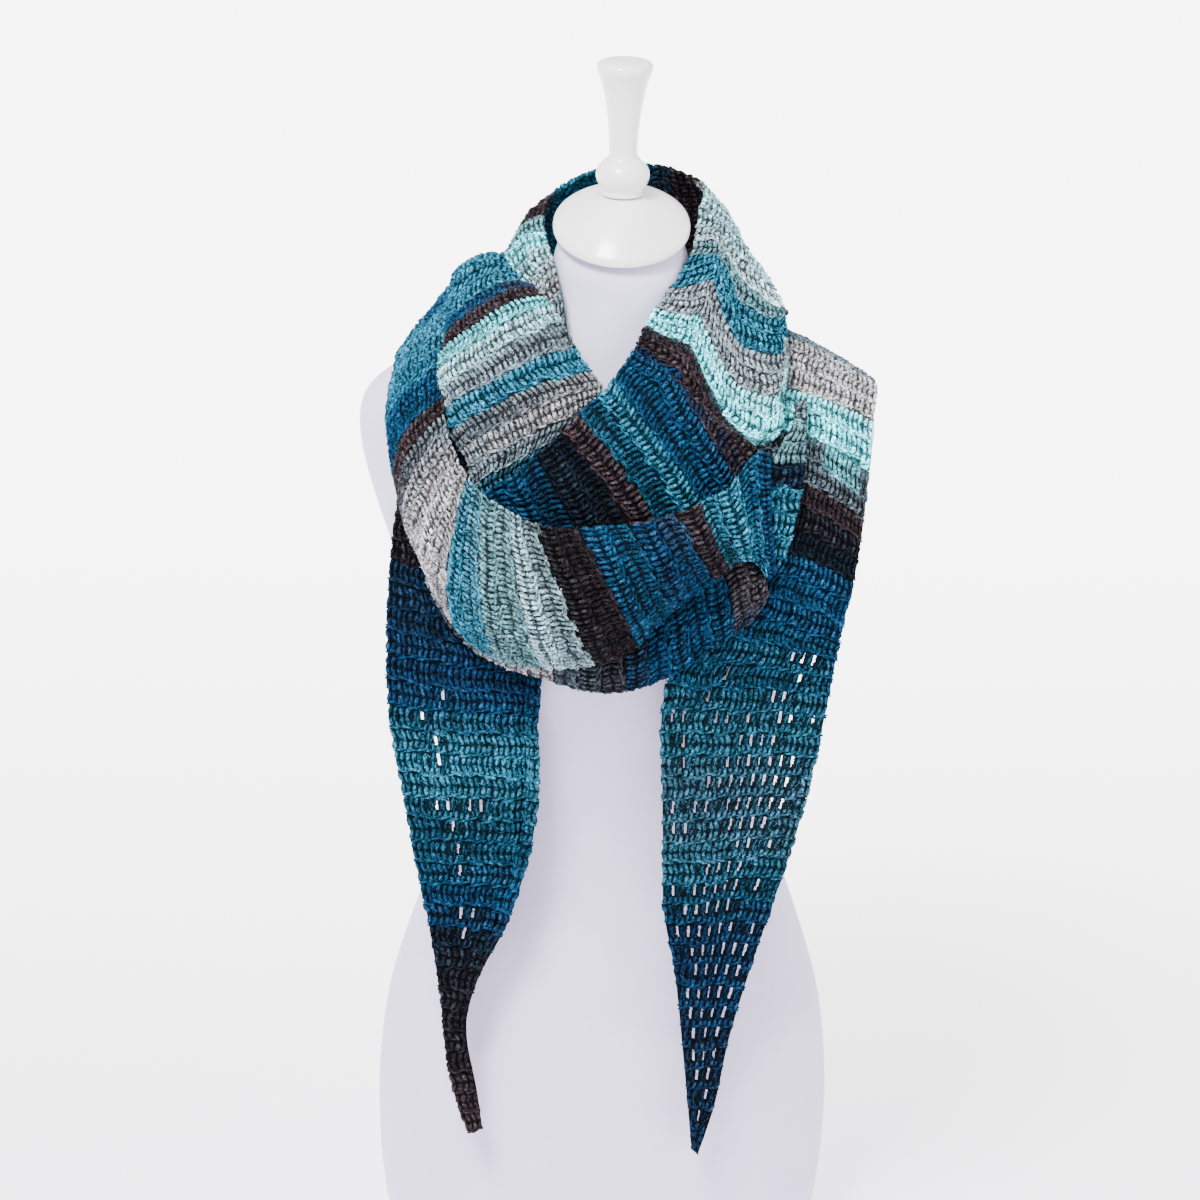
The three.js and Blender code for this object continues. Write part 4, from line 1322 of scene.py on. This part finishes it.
COLLAR = Stretch(
    name="collar",
    slot="yarn_pale",
    rests_on=("left_panel",),
    held="draped",
    cut=(0.09, 0.35),
    area=0.021,
    lined=True,
    seed=13,
    rows=(
        (-32, 69, 738, -36, 74, 729, -40, 80, 720),
        (-46, 59, 766, -49, 68, 755, -52, 76, 740),
        (-70, 52, 784, -75, 60, 779, -80, 71, 761),
        (-92, 55, 797, -96, 71, 790, -98, 85, 775),
        (-116, 62, 808, -116, 77, 799, -118, 89, 773),
        (-142, 74, 817, -142, 86, 798, -142, 94, 756),
        (-162, 81, 825, -162, 90, 797, -162, 94, 752),
        (-182, 84, 830, -182, 92, 797, -182, 95, 750),
        (-205, 84, 830, -205, 92, 799, -205, 96, 750),
        (-225, 78, 825, -225, 90, 803, -225, 99, 757),
        (-240, 69, 821, -241, 88, 803, -242, 103, 762),
        NECK_JOIN,
    ),
    folds=(
        (0.6, 0.45, 0.3, 0.16, 4),
    ),
    tones=(
        (0, Tone.DARK_GREY), (0.08, Tone.GREY), (0.15, Tone.BEIGE), (0.21, Tone.MINT_GREY),
        (0.27, Tone.MINT), (0.31, Tone.SEA_GREEN), (0.36, Tone.BROWN), (0.43, Tone.BROWN),
        (0.47, Tone.TEAL), (0.72, Tone.TEAL_BLUE), (0.77, Tone.BROWN), (0.84, Tone.BROWN),
        (0.88, Tone.LIGHT_GREY), (0.94, Tone.MINT_GREY), (1, Tone.MINT_GREY),
    ),
)

LEFT_PANEL = Stretch(
    name="left_panel",
    slot="yarn_pale",
    rests_on=("tail_left",),
    held="draped",
    cut=(0.12, 0.3),
    area=0.025,
    seed=14,
    rows=(
        (-132, 85, 732, -130, 98, 728, -126, 110, 718),
        (-114, 76, 760, -113, 99, 764, -112, 118, 747),
        (-98, 73, 770, -96, 101, 777, -95, 124, 760),
        (-83, 69, 765, -82, 99, 764, -85, 129, 730),
        (-54, 71, 764, -61, 105, 758, -75, 136, 714),
        (-44, 71, 757, -50, 113, 745, -69, 141, 700),
        (-33, 72, 745, -44, 118, 734, -65, 143, 686),
        (-22, 74, 727, -38, 120, 718, -60, 143, 678),
        (-11, 77, 710, -34, 120, 702, -55, 143, 664),
        (-6, 80, 702, -28, 118, 688, -50, 141, 654),
        (-13, 86, 684, -30, 119, 672, -46, 144, 640),
        (-23, 98, 662, -33, 120, 650, -43, 146, 630),
        (-28, 102, 640, -34, 120, 632, -42, 144, 616),
    ),
    folds=(
        (0.5, 0.84, 0.25, 0.09, 6),
        (0.74, 0.66, 0.16, 0.08, -6),
        (0.8, 0.84, 0.12, 0.08, 6),
        (0.3, 0.35, 0.06, 0.3, -3),
    ),
    tones=(
        (0, Tone.TEAL), (0.28, Tone.TEAL), (0.36, Tone.TEAL), (0.39, Tone.BLUE),
        (0.415, Tone.BLUE), (0.435, Tone.BROWN), (0.5, Tone.BROWN), (0.545, Tone.MINT),
        (0.575, Tone.MINT_GREY), (0.61, Tone.PALE_GREY), (0.64, Tone.GREY), (0.665, Tone.DARK_GREY),
        (0.68, Tone.TEAL), (0.71, Tone.TEAL), (0.725, Tone.DARK_GREY), (0.745, Tone.DARK_GREY),
        (0.765, Tone.BEIGE), (0.80, Tone.BEIGE), (0.82, Tone.GREY), (0.86, Tone.GREY),
        (0.88, Tone.TEAL_GREY), (0.93, Tone.TEAL_GREY), (0.95, Tone.BROWN), (1, Tone.BROWN),
    ),
)

BACK_WRAP = Stretch(
    name="back_wrap",
    slot="yarn_teal",
    rests_on=("collar",),
    held="draped",
    cut=(0.08, 0.34),
    area=0.027,
    seed=15,
    rows=(
        LEFT_SHOULDER_JOIN,
        (-122, 118, 750, -121, 138, 740, -119, 148, 708),
        (-150, 104, 774, -150, 124, 750, -149, 128, 700),
        (-180, 104, 788, -180, 120, 748, -180, 116, 690),
        (-210, 106, 786, -210, 122, 752, -211, 124, 700),
        (-234, 106, 768, -235, 126, 750, -237, 139, 718),
        (-254, 101, 750, -253, 118, 739, -248, 130, 724),
    ),
    folds=(
        (0.35, 0.35, 0.25, 0.12, 5),
        (0.6, 0.65, 0.3, 0.14, -5),
        (0.55, 0.9, 0.3, 0.1, 4),
    ),
    tones=(
        (0, Tone.BLUE), (0.2, Tone.TEAL), (0.5, Tone.BLUE), (0.7, Tone.DARK_BLUE), (0.85, Tone.GREY),
        (1, Tone.GREY),
    ),
)

SHOULDER_FOLD = Stretch(
    name="shoulder_fold",
    slot="yarn_teal",
    rests_on=("tail_right",),
    held="folded",
    cut=(0.025, 0.13),
    area=0.003,
    seed=16,
    rows=(
        (47.5, 146, 577, 48, 148, 575, 48.5, 149, 572),
        (46, 144, 600, 49, 150, 599, 52, 155, 598),
        (47, 143, 622, 51, 151, 621, 54.5, 157, 621),
        (49, 141, 643, 53, 150, 643, 57, 159, 642),
        (53, 145, 665, 56, 152, 664, 59, 158, 663),
        (58, 148.5, 681, 60, 152, 681, 62, 154.5, 681),
        (63, 144, 694, 65.5, 146, 694, 68, 147, 694),
    ),
    folds=(),
    tones=(
        (0, Tone.TEAL), (0.46, Tone.TEAL), (0.5, Tone.DARK_BLUE), (0.65, Tone.DARK_BLUE),
        (0.69, Tone.SEA_GREEN), (0.9, Tone.SEA_GREEN), (0.95, Tone.GREY), (1, Tone.GREY),
    ),
)

CROSSING_BAND = Stretch(
    name="crossing_band",
    slot="yarn_teal",
    rests_on=("tail_right",),
    held="draped",
    cut=(0.17, 0.38),
    area=0.034,
    seed=17,
    rows=(
        NECK_JOIN,
        (94, 54, 803, 98, 88, 779, 104, 112, 758),
        (78, 51, 789, 85, 88, 761, 96, 120, 745),
        (49, 50, 772, 70, 95, 737, 88, 122, 738),
        (28, 57, 761, 59, 106, 710, 79, 125, 728),
        (19, 62, 754, 52, 116, 691, 68, 130, 720),
        (12, 70, 744, 46, 124, 672, 57, 139, 692),
        (8, 75, 735, 33, 112, 692, 43, 138, 654),
        (2, 80, 724, 19, 112, 686, 34, 137, 634),
        (-6, 84, 706, 14, 113, 668, 27, 134, 621),
        (-16, 96, 691, 3, 112, 656, 18, 127, 609),
        (-23, 105, 673, -6, 115, 643, 5, 121, 601),
        (-27, 112, 666, -14, 120, 634, -5, 119, 590),
        (-33, 126, 651, -24, 128, 624, -17, 122, 590),
        (-37, 137, 643, -32, 135, 622, -28, 129, 594),
        (-41, 142, 636, -38, 139, 618, -36, 133, 596),
    ),
    folds=(
        (0.2, 0.5, 0.14, 0.07, -5),
        (0.32, 0.78, 0.1, 0.14, 7),
        (0.33, 0.26, 0.12, 0.16, 4),
        (0.75, 0.4, 0.04, 0.3, -5),
        (0.84, 0.35, 0.05, 0.3, 4),
    ),
    slant=((0, 0), (0.25, 0.09), (0.5, 0), (1, -0.06)),
    tones=(
        (0, Tone.LIGHT_GREY), (0.03, Tone.MINT_GREY), (0.055, Tone.ICE), (0.085, Tone.LIGHT_GREY),
        (0.11, Tone.SEA_GREEN), (0.14, Tone.TEAL), (0.22, Tone.TEAL), (0.245, Tone.LIGHT_GREY),
        (0.31, Tone.LIGHT_GREY), (0.33, Tone.MINT_GREY), (0.345, Tone.MINT), (0.41, Tone.MINT),
        (0.43, Tone.BROWN), (0.515, Tone.BROWN), (0.53, Tone.DEEP_BLUE), (0.57, Tone.BLUE),
        (0.62, Tone.BLUE), (0.65, Tone.TEAL), (0.68, Tone.TEAL_BLUE), (0.71, Tone.TEAL_BLUE),
        (0.73, Tone.BROWN), (0.775, Tone.BROWN), (0.79, Tone.BLUE_BLACK), (0.85, Tone.BLUE_BLACK),
        (0.92, Tone.BLUE), (1, Tone.BLUE),
    ),
)

UNDER_SWAG = Stretch(
    name="under_swag",
    slot="yarn_brown",
    rests_on=("tail_right",),
    held="gathered",
    cut=(0.06, 0.29),
    area=0.0152,
    seed=18,
    rows=(
        (-54, 168, 592, -52, 172, 581, -52, 171, 566),
        (-48, 158, 568, -44, 166, 552, -46, 164, 535),
        (-38, 147, 549, -35, 157, 531, -37, 151, 512),
        (-23, 133, 545, -21, 146, 524, -22, 137, 500),
        (-4, 124, 545, -4, 140, 520, -4, 131, 491),
        (9, 123, 557, 9, 142, 530, 10, 134, 497),
        (22, 129, 575, 20, 147, 548, 23, 142, 516),
        (31, 136, 590, 31, 151, 564, 33, 148, 535),
        (37, 146.5, 602, 37, 157.5, 575, 39, 155.5, 546),
        (44, 154.5, 598, 43, 159.5, 581, 44, 158.5, 563),
    ),
    folds=(
        (0.84, 0.55, 0.08, 0.4, 5),
        (0.7, 0.5, 0.05, 0.4, -3),
        (0.3, 0.5, 0.1, 0.4, -3),
    ),
    tones=(
        (0, Tone.GREY), (0.15, Tone.BROWN_GREY), (0.28, Tone.TAN), (0.36, Tone.TAN),
        (0.42, Tone.DARK_GREY), (0.6, Tone.DARK_BROWN), (0.64, Tone.BLUE), (0.88, Tone.BLUE),
        (0.91, Tone.BROWN_GREY), (1, Tone.BROWN_GREY),
    ),
)

SWAG = Stretch(
    name="swag",
    slot="yarn_pale",
    rests_on=("under_swag",),
    held="draped",
    cut=(0.13, 0.52),
    area=0.043,
    seed=19,
    rows=(
        LEFT_SHOULDER_JOIN,
        (-85, 127, 738, -86, 152, 718, -84, 165, 700),
        (-73, 131, 726, -76, 165, 697, -75, 171, 674),
        (-65, 137, 706, -68, 172, 675, -66, 175, 648),
        (-60, 144, 690, -60, 178, 659, -61, 177, 620),
        (-53, 151, 673, -54, 183, 638, -56, 179, 601),
        (-47, 155, 659, -47, 187, 616, -50, 177, 580),
        (-42, 159, 651, -40, 189, 597, -43, 168, 545),
        (-37, 162, 644, -33, 187, 578, -35, 156, 521),
        (-28, 165, 636, -23, 184, 567, -23, 147, 514),
        (-21, 167, 630, -12, 181, 568, -8, 144, 518),
        (-13, 167, 628, -4, 180, 580, 3, 147, 526),
        (-4, 166, 631, 3, 180, 592, 10, 151, 545),
        (6, 167, 634, 11, 179, 606, 18, 154, 567),
        (14, 167, 640, 18, 178, 617, 26, 160, 584),
        (22, 164, 646, 24, 175, 624, 31, 163, 592),
        (28, 161, 652, 29, 172, 628, 35, 162, 596),
        (35, 157, 666, 34, 170, 633, 39, 163, 591),
        (41, 155, 674, 39, 166, 631, 43, 162, 578),
        (45, 154, 668, 43, 162, 627, 45, 160, 583),
    ),
    folds=(
        (0.5, 0.1, 0.12, 0.08, 4),
        (0.36, 0.3, 0.05, 0.2, -3),
        (0.755, 0.45, 0.02, 0.5, 4),
        (0.8, 0.6, 0.018, 0.6, -6),
        (0.86, 0.4, 0.03, 0.5, 4),
    ),
    tones=(
        (0, Tone.BLUE), (0.08, Tone.TEAL), (0.16, Tone.TEAL), (0.20, Tone.BLUE),
        (0.25, Tone.BLUE), (0.27, Tone.BROWN), (0.295, Tone.BROWN), (0.32, Tone.GREY),
        (0.35, Tone.BEIGE), (0.41, Tone.TAN), (0.445, Tone.BEIGE), (0.465, Tone.TEAL),
        (0.495, Tone.TEAL), (0.515, Tone.SEA_GREEN), (0.565, Tone.SEA_GREEN), (0.59, Tone.PALE_GREY),
        (0.62, Tone.PALE_GREY), (0.643, Tone.DARK_BROWN), (0.70, Tone.DARK_BROWN),
        (0.72, Tone.BLUE), (0.745, Tone.TEAL_BLUE), (0.775, Tone.DEEP_BLUE), (0.82, Tone.BLUE),
        (0.84, Tone.BROWN), (0.875, Tone.DARK_BROWN), (0.895, Tone.TEAL), (0.94, Tone.TEAL),
        (0.96, Tone.BLUE), (1, Tone.BLUE),
    ),
)

STRETCHES = (
    TAIL_RIGHT,
    TAIL_LEFT,
    COLLAR,
    LEFT_PANEL,
    BACK_WRAP,
    SHOULDER_FOLD,
    CROSSING_BAND,
    UNDER_SWAG,
    SWAG,
)


def main() -> None:
    """Builds the form, the shawl and the studio."""
    logging.basicConfig(level=logging.INFO, format="%(message)s")
    materials = Materials(ShaderParts())
    Studio().build(materials)
    DressForm().build(materials)
    tree = StitchTree()
    stitches = {lie: Stitch(lie).build() for lie in Lie}
    for stretch in STRETCHES:
        stretch.build(tree, stitches, materials)
    for stitch in stitches.values():
        bpy.data.objects.remove(stitch)


if __name__ == "__main__":
    main()
